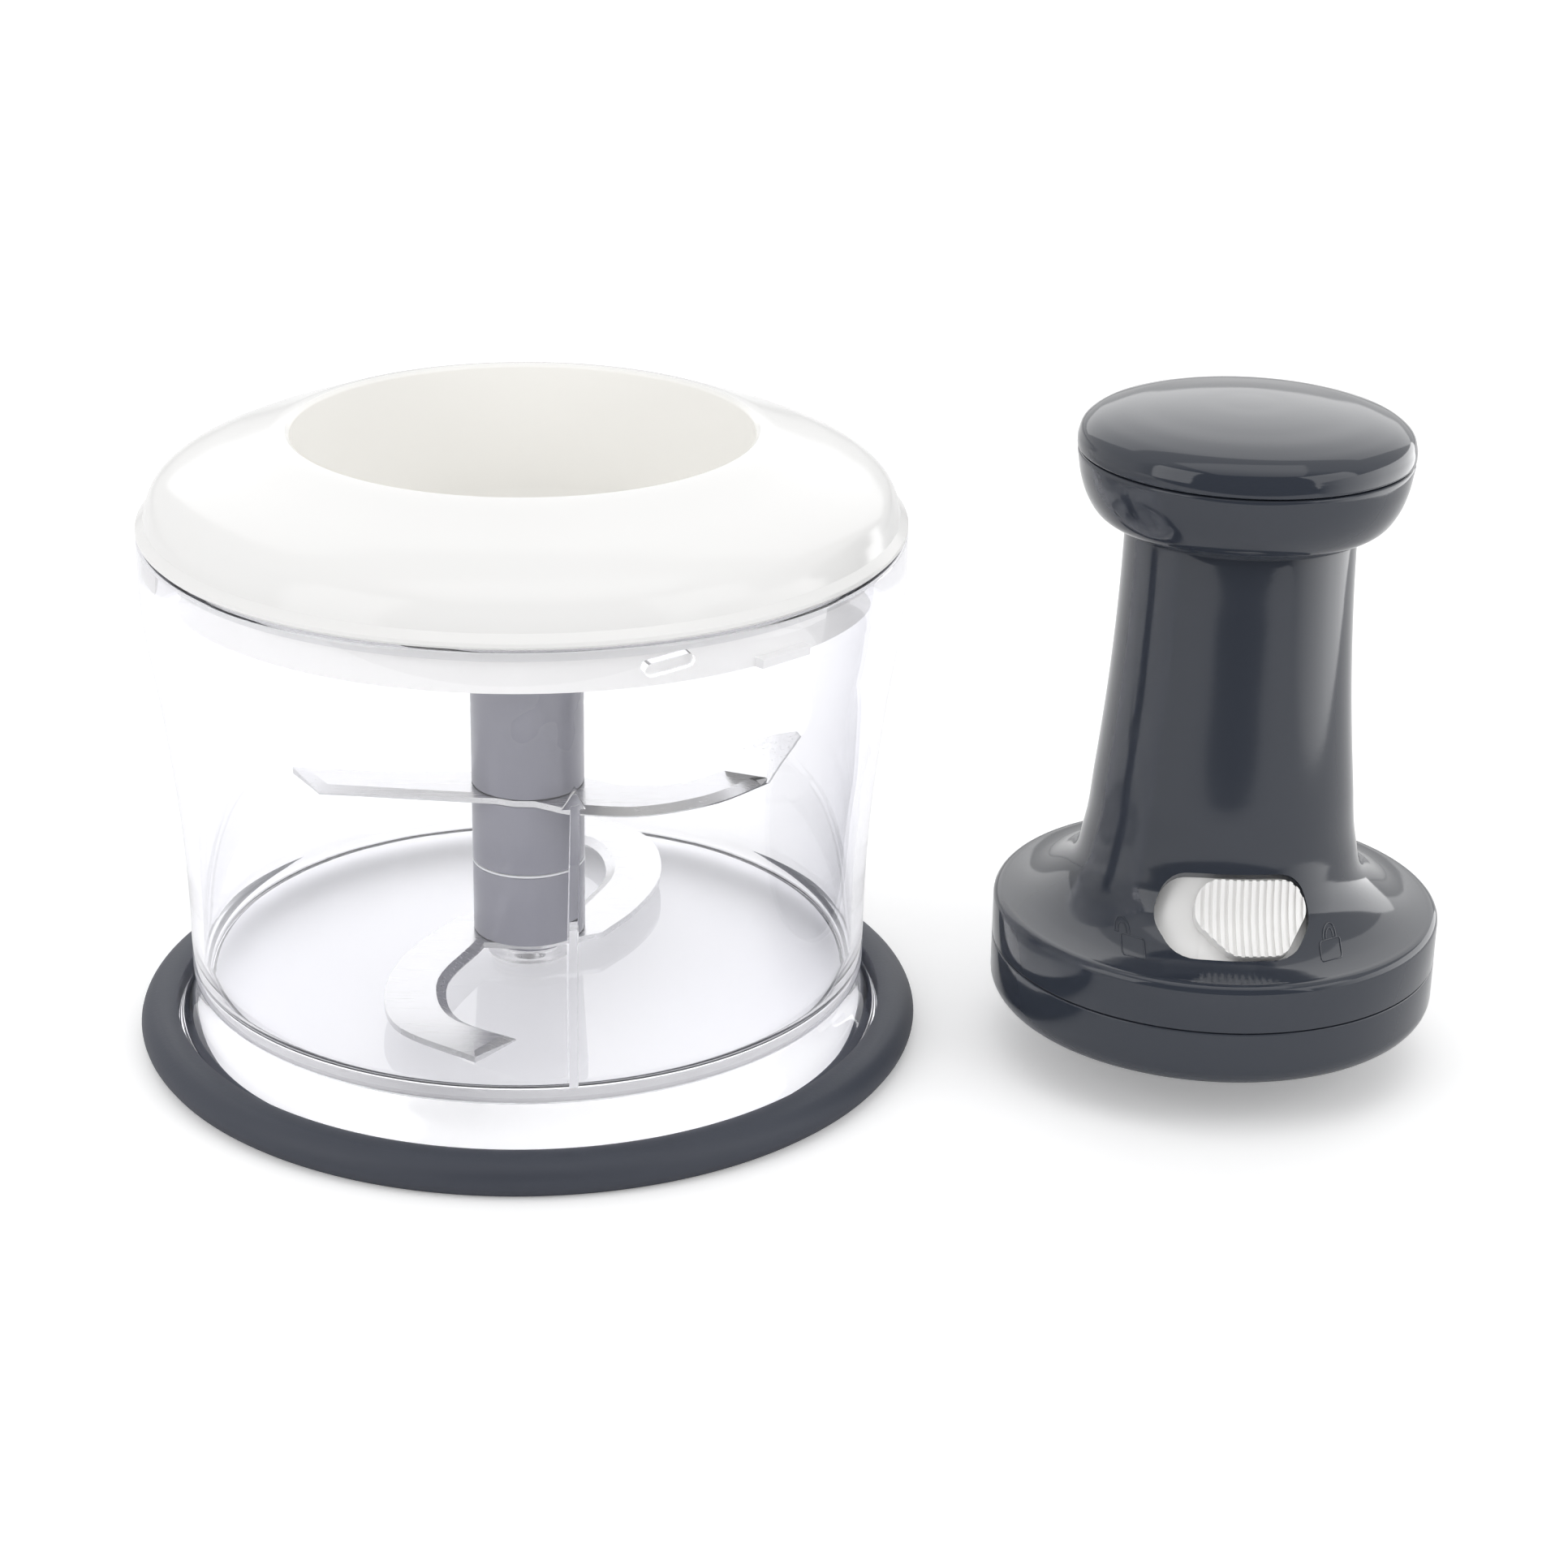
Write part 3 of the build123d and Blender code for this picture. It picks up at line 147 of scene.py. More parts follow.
# a bright card stands upright at the right, fading towards the onlooker; only glossy
# surfaces show it
bpy.ops.mesh.primitive_grid_add(x_subdivisions=4, y_subdivisions=4, size=1)
card = bpy.context.object
card.name = "card_right"
card_length = 0.62
card_height = 0.17
card_middle = (0.335, 0.02, 0.09)
bpy.ops.object.mode_set(mode='EDIT')
bpy.ops.mesh.select_all(action='SELECT')
bpy.ops.transform.resize(value=(card_length, card_height, 1))
bpy.ops.transform.rotate(value=-pi / 2, orient_axis='X', center_override=(0, 0, 0))
bpy.ops.transform.rotate(value=-pi / 2, orient_axis='Z', center_override=(0, 0, 0))
bpy.ops.transform.translate(value=card_middle)
bpy.ops.object.mode_set(mode='OBJECT')
glow = bpy.data.materials.new("card_glow")
glow.use_nodes = True
tree = glow.node_tree
tree.nodes.remove(tree.nodes["Principled BSDF"])
shine = tree.nodes.new("ShaderNodeEmission")
place = tree.nodes.new("ShaderNodeTexCoord")
split = tree.nodes.new("ShaderNodeSeparateXYZ")
fade = tree.nodes.new("ShaderNodeMapRange")
fade.inputs["From Min"].default_value = -0.28
fade.inputs["From Max"].default_value = 0.0
fade.inputs["To Min"].default_value = 0.3
fade.inputs["To Max"].default_value = 3.2
tree.links.new(place.outputs["Object"], split.inputs[0])
tree.links.new(split.outputs["Y"], fade.inputs["Value"])
tree.links.new(fade.outputs["Result"], shine.inputs["Strength"])
tree.links.new(shine.outputs[0], tree.nodes["Material Output"].inputs["Surface"])
card.data.materials.append(glow)
card.visible_camera = False
card.visible_diffuse = False
card.visible_transmission = False
card.visible_shadow = False

# ---------------------------------------------------------------- bowl
# Clear injection-moulded bowl in one piece: tall wall that widens to the rim, floor,
# flared foot, one pointed stirring rib, a boss for the pivot pin and three bayonet lugs.
bowl_x = -48.85
floor_underside = 12.8
wall_thickness = 2.2
rib_thickness = 1.6
lug_half_length = 3.3
lug_end_radius = 1.2


def smooth(points, share=6):
    """Points along a smooth line through the given points."""
    line = []
    for i in range(len(points) - 1):
        p1, p2 = Vector(points[i]), Vector(points[i + 1])
        p0 = Vector(points[i - 1]) if i > 0 else 2 * p1 - p2
        p3 = Vector(points[i + 2]) if i + 2 < len(points) else 2 * p2 - p1
        d0, d1, d2 = (p1 - p0).length, (p2 - p1).length, (p3 - p2).length
        m1 = ((p1 - p0) / d0 - (p2 - p0) / (d0 + d1) + (p2 - p1) / d1) * d1
        m2 = ((p2 - p1) / d1 - (p3 - p1) / (d1 + d2) + (p3 - p2) / d2) * d1
        for k in range(share):
            t = k / share
            line.append(tuple((2 * t**3 - 3 * t**2 + 1) * p1 + (t**3 - 2 * t**2 + t) * m1
                              + (3 * t**2 - 2 * t**3) * p2 + (t**3 - t**2) * m2))
    line.append(tuple(points[-1]))
    return line


def rounded(corners, share=5):
    """Points of a closed outline in which a corner may carry its rounding as a third number."""
    line = []
    for i, corner in enumerate(corners):
        here = Vector(corner[:2])
        if len(corner) < 3:
            line.append(tuple(here))
            continue
        before = (Vector(corners[i - 1][:2]) - here).normalized()
        after = (Vector(corners[(i + 1) % len(corners)][:2]) - here).normalized()
        half = before.angle(after) / 2
        middle = here + (before + after).normalized() * (corner[2] / sin(half))
        start = here + before * (corner[2] * cos(half) / sin(half)) - middle
        end = here + after * (corner[2] * cos(half) / sin(half)) - middle
        turn = start.angle_signed(end)
        for k in range(share + 1):
            a = -turn * k / share
            line.append((middle.x + start.x * cos(a) - start.y * sin(a),
                         middle.y + start.x * sin(a) + start.y * cos(a)))
    return line


def drawn(name, path):
    """Starts a piece as a closed line of edges through the points, and stays in edit mode."""
    bpy.ops.object.select_all(action='DESELECT')
    bpy.ops.mesh.primitive_plane_add(size=0.001)
    piece = bpy.context.object
    piece.name = piece.data.name = name
    bpy.ops.object.mode_set(mode='EDIT')
    bpy.ops.mesh.select_all(action='SELECT')
    bpy.ops.mesh.merge(type='CENTER')
    bpy.ops.transform.translate(value=path[0])
    for a, b in zip(path, path[1:] + path[:1]):
        bpy.ops.mesh.extrude_region_move(TRANSFORM_OT_translate={"value": b - a})
    bpy.ops.mesh.select_all(action='SELECT')
    bpy.ops.mesh.remove_doubles(threshold=2e-6)
    return piece


def finished(piece, edge=30):
    """Leaves edit mode with faces pointing outwards, smooth but for edges sharper than the angle."""
    bpy.ops.mesh.select_all(action='SELECT')
    bpy.ops.mesh.remove_doubles(threshold=2e-6)
    bpy.ops.mesh.normals_make_consistent(inside=False)
    bpy.ops.object.mode_set(mode='OBJECT')
    bpy.ops.object.shade_smooth_by_angle(angle=radians(edge))
    return piece


def turned(name, outline, centre=(bowl_x, 0), steps=144, edge=30):
    """A piece turned round an upright axis from its outline of radius and height."""
    piece = drawn(name, [Vector((centre[0] + r, centre[1], z)) * mm for r, z in outline])
    bpy.ops.mesh.spin(steps=steps, angle=2 * pi, use_auto_merge=True,
                      center=Vector((centre[0], centre[1], 0)) * mm, axis=(0, 0, 1))
    return finished(piece, edge)


def slab(name, path, depth, edge=30):
    """A piece with the given outline and a straight depth."""
    piece = drawn(name, path)
    bpy.ops.mesh.edge_face_add()
    bpy.ops.mesh.extrude_region_move(TRANSFORM_OT_translate={"value": depth})
    return finished(piece, edge)


def worked(piece, tool, how, edge=30):
    """Joins a piece with another, or cuts it with it, and clears the other away."""
    bpy.ops.object.select_all(action='DESELECT')
    bpy.context.view_layer.objects.active = piece
    piece.select_set(True)
    bpy.ops.object.modifier_add(type='BOOLEAN')
    piece.modifiers[-1].operation = how
    piece.modifiers[-1].solver = 'EXACT'
    piece.modifiers[-1].object = tool
    bpy.ops.object.modifier_apply(modifier=piece.modifiers[-1].name)
    bpy.ops.object.shade_smooth_by_angle(angle=radians(edge))
    bpy.data.objects.remove(tool)
    return piece


def round_about(centre, angle, radius, height):
    """A point at an angle round an upright axis."""
    return Vector((centre[0] + radius * cos(angle), centre[1] + radius * sin(angle), height)) * mm


wall = smooth([(70.0, 93.5), (70.0, 90.5), (66.9, 65.5), (64.73, 45.3), (63.8, 23.0), (63.8, 20.5)], 5)
bowl_outline = rounded([(67.8, 100.0, 0.6), (70.0, 100.0, 0.6)]
                       + wall
                       + [(63.8, 16.5), (63.8, floor_underside, 2.4), (61.6, floor_underside)]
                       + smooth([(62.0, 12.3), (63.6, 9.1), (65.7, 6.1), (67.0, 3.5)], 4)
                       + [(67.0, 2.4, 0.4), (65.0, 2.4, 0.4)]
                       + smooth([(65.0, 3.7), (63.4, 6.5), (61.5, 9.3), (60.3, 11.9)], 4)
                       + [(60.0, floor_underside), (0.0, floor_underside), (0.0, 17.1),
                          (7.6, 17.1, 0.5), (7.6, 15.0, 0.6), (61.6, 15.0, 2.8)]
                       + [(r - wall_thickness, z) for r, z in reversed(wall[:-3])])
bowl = turned("bowl_moulding", bowl_outline, steps=192)
rib_turn = radians(-78.5)
rib_side = Vector((-sin(rib_turn), cos(rib_turn), 0)) * rib_thickness * mm
rib = slab("rib", [round_about((bowl_x, 0), rib_turn, r, z) - rib_side / 2
                   for r, z in ((59.1, 14.5), (62.7, 14.5), (62.8, 36.5), (64.2, 52.5), (66.0, 71.5),
                                (64.6, 69.5), (60.2, 46.5), (59.1, 38.5))], rib_side)
bowl = worked(bowl, rib, 'UNION')
half_turn = [pi * k / 6 for k in range(7)]
lug_outline = ([(lug_half_length + lug_end_radius * sin(a), lug_end_radius * cos(a)) for a in half_turn]
               + [(-lug_half_length - lug_end_radius * sin(a), -lug_end_radius * cos(a)) for a in half_turn])
for third in range(3):
    lug_turn = radians(-65 + 120 * third)
    rise = radians(8)
    along = Vector((-sin(lug_turn) * cos(rise), cos(lug_turn) * cos(rise), sin(rise)))
    over = Vector((sin(lug_turn) * sin(rise), -cos(lug_turn) * sin(rise), cos(rise)))
    lug_middle = round_about((bowl_x, 0), lug_turn, 68.6, 95.5)
    lug = slab("lug", [lug_middle + (along * a + over * b) * mm for a, b in lug_outline],
               Vector((-cos(lug_turn), -sin(lug_turn), 0)) * 2.7 * mm)
    bowl = worked(bowl, lug, 'UNION')


def clear_plastic(name, face, edge_tint, gloss):
    """Clear moulded plastic, with a faint tint where it is seen edge on and a textured underside."""
    clear = bpy.data.materials.new(name)
    clear.use_nodes = True
    tree = clear.node_tree
    body = tree.nodes["Principled BSDF"]
    body.inputs["Transmission Weight"].default_value = 1.0
    body.inputs["IOR"].default_value = 1.47
    place = tree.nodes.new("ShaderNodeTexCoord")
    flow = tree.nodes.new("ShaderNodeTexNoise")
    flow.inputs["Scale"].default_value = 14
    tree.links.new(place.outputs["Object"], flow.inputs["Vector"])
    depth = tree.nodes.new("ShaderNodeLayerWeight")
    depth.inputs["Blend"].default_value = 0.12
    tint = tree.nodes.new("ShaderNodeMix")
    tint.data_type = 'RGBA'
    tint.inputs[6].default_value = face
    tint.inputs[7].default_value = edge_tint
    tree.links.new(depth.outputs["Facing"], tint.inputs[0])
    tree.links.new(tint.outputs[2], body.inputs["Base Color"])
    polish = tree.nodes.new("ShaderNodeMapRange")
    polish.inputs["To Min"].default_value = gloss
    polish.inputs["To Max"].default_value = gloss + 0.02
    tree.links.new(flow.outputs["Fac"], polish.inputs["Value"])
    # the floor's underside is finely textured
    height = tree.nodes.new("ShaderNodeSeparateXYZ")
    tree.links.new(place.outputs["Object"], height.inputs[0])
    underside = tree.nodes.new("ShaderNodeMath")
    underside.operation = 'COMPARE'
    underside.inputs[1].default_value = floor_underside * mm
    underside.inputs[2].default_value = 0.1 * mm
    tree.links.new(height.outputs["Z"], underside.inputs[0])
    texture = tree.nodes.new("ShaderNodeMath")
    texture.operation = 'MULTIPLY_ADD'
    texture.inputs[1].default_value = 0.55
    tree.links.new(underside.outputs[0], texture.inputs[0])
    tree.links.new(polish.outputs["Result"], texture.inputs[2])
    tree.links.new(texture.outputs[0], body.inputs["Roughness"])
    # light passes to what is inside
    shade = tree.nodes.new("ShaderNodeLightPath")
    passing = tree.nodes.new("ShaderNodeBsdfTransparent")
    passing.inputs["Color"].default_value = (0.985, 0.985, 0.99, 1)
    # so does light that has been to and fro inside a thick edge
    trapped = tree.nodes.new("ShaderNodeMath")
    trapped.operation = 'GREATER_THAN'
    trapped.inputs[1].default_value = 4.5
    tree.links.new(shade.outputs["Ray Depth"], trapped.inputs[0])
    through = tree.nodes.new("ShaderNodeMath")
    through.operation = 'MAXIMUM'
    tree.links.new(shade.outputs["Is Shadow Ray"], through.inputs[0])
    tree.links.new(trapped.outputs[0], through.inputs[1])
    both = tree.nodes.new("ShaderNodeMixShader")
    tree.links.new(through.outputs[0], both.inputs[0])
    tree.links.new(body.outputs[0], both.inputs[1])
    tree.links.new(passing.outputs[0], both.inputs[2])
    tree.links.new(both.outputs[0], tree.nodes["Material Output"].inputs["Surface"])
    return clear


def made(piece, material, body, slot, *stands_for):
    """Gives a finished piece its material and its body, and hides the nodes it stands for; the slot is not
    used.
    """
    piece.data.materials.clear()
    piece.data.materials.append(material)
    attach(piece, body)
    if stands_for:
        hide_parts(*stands_for)


bowl_clear = clear_plastic("clear_bowl_plastic", (0.985, 0.985, 0.99, 1), (0.80, 0.80, 0.97, 1), 0.0)
made(bowl, bowl_clear, "bowl", "clear_plastic", "bowl")

# ---------------------------------------------------------------- non-slip ring
# Thick matte silicone ring, moulded separately and stretched round the bowl's foot,
# whose edge sits in a groove in its inner side.
ring_outline = rounded([(62.8, 0.0, 0.5), (72.0, 0.0, 0.8)]
                       + smooth([(72.9, 0.7), (73.7, 1.9), (74.0, 3.4), (73.5, 5.0), (72.1, 6.4),
                                 (70.3, 7.15)], 4)
                       + [(68.7, 7.2), (67.1, 6.7, 0.3), (67.1, 2.3), (64.9, 2.3), (64.9, 3.6, 0.4),
                          (62.8, 3.6, 0.6)])
ring = turned("grip_ring", ring_outline, steps=192, edge=50)


def moulded(name, dark, light, patch, gloss, spread, peel, pore=700):
    """Moulded plastic or rubber, with a slight colour drift, uneven polish and a fine skin texture."""
    skin = bpy.data.materials.new(name)
    skin.use_nodes = True
    tree = skin.node_tree
    body = tree.nodes["Principled BSDF"]
    place = tree.nodes.new("ShaderNodeTexCoord")
    drift = tree.nodes.new("ShaderNodeTexNoise")
    drift.inputs["Scale"].default_value = patch
    drift.inputs["Detail"].default_value = 3
    tree.links.new(place.outputs["Object"], drift.inputs["Vector"])
    tone = tree.nodes.new("ShaderNodeMix")
    tone.data_type = 'RGBA'
    tone.inputs[6].default_value = (*dark, 1)
    tone.inputs[7].default_value = (*light, 1)
    tree.links.new(drift.outputs["Fac"], tone.inputs[0])
    tree.links.new(tone.outputs[2], body.inputs["Base Color"])
    polish = tree.nodes.new("ShaderNodeMapRange")
    polish.inputs["To Min"].default_value = gloss
    polish.inputs["To Max"].default_value = gloss + spread
    tree.links.new(drift.outputs["Fac"], polish.inputs["Value"])
    tree.links.new(polish.outputs["Result"], body.inputs["Roughness"])
    fine = tree.nodes.new("ShaderNodeTexNoise")
    fine.inputs["Scale"].default_value = pore
    fine.inputs["Detail"].default_value = 2
    tree.links.new(place.outputs["Object"], fine.inputs["Vector"])
    relief = tree.nodes.new("ShaderNodeBump")
    relief.inputs["Strength"].default_value = peel
    relief.inputs["Distance"].default_value = 0.0001
    tree.links.new(fine.outputs["Fac"], relief.inputs["Height"])
    tree.links.new(relief.outputs["Normal"], body.inputs["Normal"])
    return skin


silicone = moulded("slate_silicone", (0.036, 0.041, 0.058), (0.043, 0.049, 0.067), 60, 0.50, 0.1, 0.25,
                   pore=1500)
made(ring, silicone, "bowl", "ring_silicone", "nonslip_ring")

# ---------------------------------------------------------------- hub
# Three slate plastic sleeves threaded over a core that turns on the steel pivot pin,
# with the blades and a pale spacer clamped under and between them.
core_radius = 6.1
sleeve_radius = 10.6
spacer_radius = 10.7
hub_slate = moulded("satin_slate", (0.20, 0.20, 0.24), (0.22, 0.22, 0.26), 30, 0.24, 0.08, 0.06)
for name, foot, top, node in (("hub_sleeve_low", 19.7, 33.7, "lower_sleeve"),
                              ("hub_sleeve_mid", 34.3, 48.2, "middle_sleeve"),
                              ("hub_sleeve_top", 49.6, 75.8, "upper_sleeve")):
    sleeve = turned(name, rounded([(core_radius, foot), (sleeve_radius, foot, 0.25),
                                   (sleeve_radius, top, 0.35), (core_radius, top)], 3), steps=96)
    made(sleeve, hub_slate, "blades", "slate_hub", node)
spacer = turned("hub_spacer_ring", rounded([(core_radius, 33.8), (spacer_radius, 33.8, 0.1),
                                            (spacer_radius, 34.2, 0.1), (core_radius, 34.2)], 2), steps=96)
pale = moulded("pale_spacer", (0.62, 0.63, 0.65), (0.70, 0.71, 0.73), 40, 0.25, 0.1, 0.05)
made(spacer, pale, "blades", "spacer_plastic", "hub_spacer")


def dressed(material, *names):
    """Gives CAD nodes that stay as they are their material."""
    for node in names:
        nodes[node].data.materials.clear()
        nodes[node].data.materials.append(material)


bush_white = moulded("slippery_bush", (0.72, 0.70, 0.64), (0.78, 0.76, 0.71), 80, 0.38, 0.12, 0.1)
dressed(hub_slate, "spindle_core")
dressed(bush_white, "pivot_bush")

# ---------------------------------------------------------------- blades
# Stainless plates 1.2 mm thick, punched, ground to an edge on their leading side and
# satin finished. The upper one is a sickle with its tip bent up, the lower one a double hook.
plate = 1.2


def ground_steel(name, grain_turn):
    """Satin stainless steel with fine grinding lines one way."""
    steel = bpy.data.materials.new(name)
    steel.use_nodes = True
    tree = steel.node_tree
    body = tree.nodes["Principled BSDF"]
    body.inputs["Metallic"].default_value = 1.0
    place = tree.nodes.new("ShaderNodeTexCoord")
    turn = tree.nodes.new("ShaderNodeMapping")
    turn.inputs["Rotation"].default_value = (0, 0, grain_turn)
    turn.inputs["Scale"].default_value = (60, 2600, 2600)
    tree.links.new(place.outputs["Object"], turn.inputs["Vector"])
    lines = tree.nodes.new("ShaderNodeTexNoise")
    lines.inputs["Scale"].default_value = 1
    lines.inputs["Detail"].default_value = 3
    tree.links.new(turn.outputs["Vector"], lines.inputs["Vector"])
    tone = tree.nodes.new("ShaderNodeMix")
    tone.data_type = 'RGBA'
    tone.inputs[6].default_value = (0.54, 0.54, 0.55, 1)
    tone.inputs[7].default_value = (0.64, 0.64, 0.65, 1)
    tree.links.new(lines.outputs["Fac"], tone.inputs[0])
    tree.links.new(tone.outputs[2], body.inputs["Base Color"])
    polish = tree.nodes.new("ShaderNodeMapRange")
    polish.inputs["To Min"].default_value = 0.16
    polish.inputs["To Max"].default_value = 0.34
    tree.links.new(lines.outputs["Fac"], polish.inputs["Value"])
    tree.links.new(polish.outputs["Result"], body.inputs["Roughness"])
    relief = tree.nodes.new("ShaderNodeBump")
    relief.inputs["Strength"].default_value = 0.12
    relief.inputs["Distance"].default_value = 0.0001
    tree.links.new(lines.outputs["Fac"], relief.inputs["Height"])
    tree.links.new(relief.outputs["Normal"], body.inputs["Normal"])
    return steel


def blade(name, outline, foot, grind, ground):
    """A flat blade with its hub hole, ground down along the part of its outline that is named."""
    piece = slab(name, [Vector((bowl_x + x, y, foot)) * mm for x, y in outline],
                 Vector((0, 0, plate * mm)), 20)
    top = (foot + plate) * mm
    bpy.ops.object.mode_set(mode='EDIT')
    bpy.ops.mesh.select_mode(type='FACE')
    bpy.ops.mesh.select_all(action='DESELECT')
    bpy.ops.object.mode_set(mode='OBJECT')
    for face in piece.data.polygons:
        face.select = face.normal.z > 0.9
    bpy.ops.object.mode_set(mode='EDIT')
    bpy.ops.mesh.inset(thickness=grind * mm, depth=0)
    bpy.ops.mesh.select_mode(type='VERT')
    bpy.ops.mesh.select_all(action='DESELECT')
    bpy.ops.object.mode_set(mode='OBJECT')
    marks = [Vector((bowl_x + x, y)) * mm for x, y in ground]
    for v in piece.data.vertices:
        v.select = v.co.z > top - 1e-5 and any((v.co.xy - m).length < 1e-5 for m in marks)
    bpy.ops.object.mode_set(mode='EDIT')
    bpy.ops.transform.translate(value=(0, 0, -0.95 * mm))
    finished(piece, 12)
    hole = turned("hole", [(0, foot - 1), (core_radius, foot - 1), (core_radius, foot + 3), (0, foot + 3)],
                  steps=64)
    return worked(piece, hole, 'DIFFERENCE', 12)


sickle_front = smooth([(45.3, 3.2), (34.5, -8.0), (20.7, -14.3), (8.0, -13.6)], 8)
sickle_back = smooth([(10.1, 1.4), (18.0, -1.8), (28.5, -0.4), (37.0, 6.4)], 8)
collar = 10.7
collar_back = [(collar * cos(a), collar * sin(a)) for a in (radians(163 - 15.5 * k) for k in range(11))]
upper_outline = ([(-5.2, -9.35), (-38.5, -6.2), (-45.0, 3.8), (-28.0, 2.4)] + collar_back + sickle_back
                 + sickle_front + [(2.0, -10.5), (-1.8, -10.54)])
upper = blade("sickle_blade", upper_outline, 48.3, 2.2, sickle_front[1:-1] + [(-38.5, -6.2)])
# the tip stands up from the line between the ends of the front and back edges, leaning outwards
bend_start, bend_end = Vector((45.3, 3.2, 0)), Vector((37.0, 6.4, 0))
bend = (bend_end - bend_start).normalized()
outward = Vector((bend.y, -bend.x, 0))
tip_lean = radians(20)
rise = outward * sin(tip_lean) + Vector((0, 0, cos(tip_lean)))
tip_foot = Vector((bowl_x, 0, 48.35)) + bend_start
tip_side = bend.cross(rise)
tip = slab("tip", [(tip_foot + bend * a + rise * b - tip_side * plate / 2) * mm
                   for a, b in ((0.0, 0.0), (8.9, 0.0), (8.7, 2.4), (7.2, 5.0), (3.8, 7.4), (-0.4, 9.2),
                                (-4.2, 10.3), (-5.2, 9.5), (-3.6, 6.8), (-1.8, 3.6))],
           tip_side * plate * mm, 12)
bpy.ops.object.select_all(action='DESELECT')
bpy.context.view_layer.objects.active = upper
upper.select_set(True)
tip.select_set(True)
bpy.ops.object.join()
made(upper, ground_steel("satin_blade", 0.35), "blades", "blade_steel", "upper_blade")

hook = ([(-3.0, 8.6)]
        + smooth([(-14.0, 3.0), (-19.5, -7.5), (-24.2, -26.0), (-20.8, -43.5), (-5.2, -56.4)], 7)
        + smooth([(1.2, -47.2), (-9.8, -39.5), (-13.2, -27.5), (-8.0, -8.5)], 7) + [(1.0, -8.8)])
lower = blade("hook_blade", hook + [(-x, -y) for x, y in hook], 18.4, 1.8,
              hook[-23:-2] + [(-x, -y) for x, y in hook[-23:-2]])
made(lower, ground_steel("satin_hooks", 1.3), "blades", "blade_steel", "lower_blade")
dressed(ground_steel("bright_pin", 0.0), "pivot_pin")

# ---------------------------------------------------------------- lid shell
# Glossy white lid: rounded flange on the bowl's rim, low dome, and a deep round seat
# for the plunger head with a well in its middle.
seat_radius = 42.0
lid_outline = rounded([(65.7, 100.3), (69.4, 100.3), (70.0, 100.9), (70.0, 101.6, 0.3)]
                      + smooth([(68.6, 102.9), (68.0, 105.2), (66.6, 107.8), (64.2, 109.8), (59.5, 112.2),
                                (52.0, 115.0), (44.4, 117.8)], 5)
                      + [(42.8, 118.05), (seat_radius, 117.4, 0.5), (seat_radius, 90.1, 3.4),
                         (15.5, 90.1, 0.5), (15.5, 79.7), (8.0, 79.7), (8.0, 77.5), (17.7, 77.5),
                         (17.7, 87.9), (44.2, 87.9, 5.6), (44.2, 114.9), (51.2, 112.9), (58.6, 110.2),
                         (63.0, 107.9), (64.0, 102.3), (65.7, 102.3)])
lid = turned("lid_moulding", lid_outline, steps=192)
lid_white = moulded("glossy_white", (0.845, 0.840, 0.830), (0.87, 0.867, 0.86), 20, 0.12, 0.06, 0.03)
# inside the seat the white is painted paler and warmer: painted light that makes up for the shade falling in
# the deep seat
tree = lid_white.node_tree
shell = tree.nodes["Principled BSDF"]
shell.inputs["Specular IOR Level"].default_value = 0.32
outside = shell.inputs["Base Color"].links[0].from_socket
place = tree.nodes.new("ShaderNodeTexCoord")
centred = tree.nodes.new("ShaderNodeMapping")
centred.inputs["Location"].default_value = (-bowl_x * mm, 0, 0)
centred.inputs["Scale"].default_value = (1, 1, 0)
radius = tree.nodes.new("ShaderNodeVectorMath")
radius.operation = 'LENGTH'
seat_light_mask = tree.nodes.new("ShaderNodeMapRange")
seat_light_mask.inputs["From Min"].default_value = (seat_radius + 1.2) * mm
seat_light_mask.inputs["From Max"].default_value = (seat_radius - 0.2) * mm
painted_seat_light = tree.nodes.new("ShaderNodeMix")
painted_seat_light.data_type = 'RGBA'
# the paler, warmer white of the painted light inside the seat
painted_seat_light.inputs[7].default_value = (0.945, 0.935, 0.905, 1)
tree.links.new(place.outputs["Object"], centred.inputs["Vector"])
tree.links.new(centred.outputs["Vector"], radius.inputs[0])
tree.links.new(radius.outputs["Value"], seat_light_mask.inputs["Value"])
tree.links.new(seat_light_mask.outputs["Result"], painted_seat_light.inputs[0])
tree.links.new(outside, painted_seat_light.inputs[6])
tree.links.new(painted_seat_light.outputs[2], shell.inputs["Base Color"])
made(lid, lid_white, "lid", "white_gloss", "lid_shell")

# ---------------------------------------------------------------- lid inner ring, seal and bush
# Satin white skirt that hangs inside the rim with its bayonet tabs, a soft seal round
# it and a bush for the spindle.
satin_white = moulded("satin_white", (0.90, 0.895, 0.885), (0.93, 0.925, 0.915), 25, 0.30, 0.08, 0.05)
soft_white = moulded("soft_seal", (0.70, 0.70, 0.70), (0.76, 0.76, 0.76), 40, 0.45, 0.1, 0.1)
dressed(satin_white, "lid_inner_ring")
dressed(soft_white, "lid_seal")
dressed(bush_white, "lid_bush")

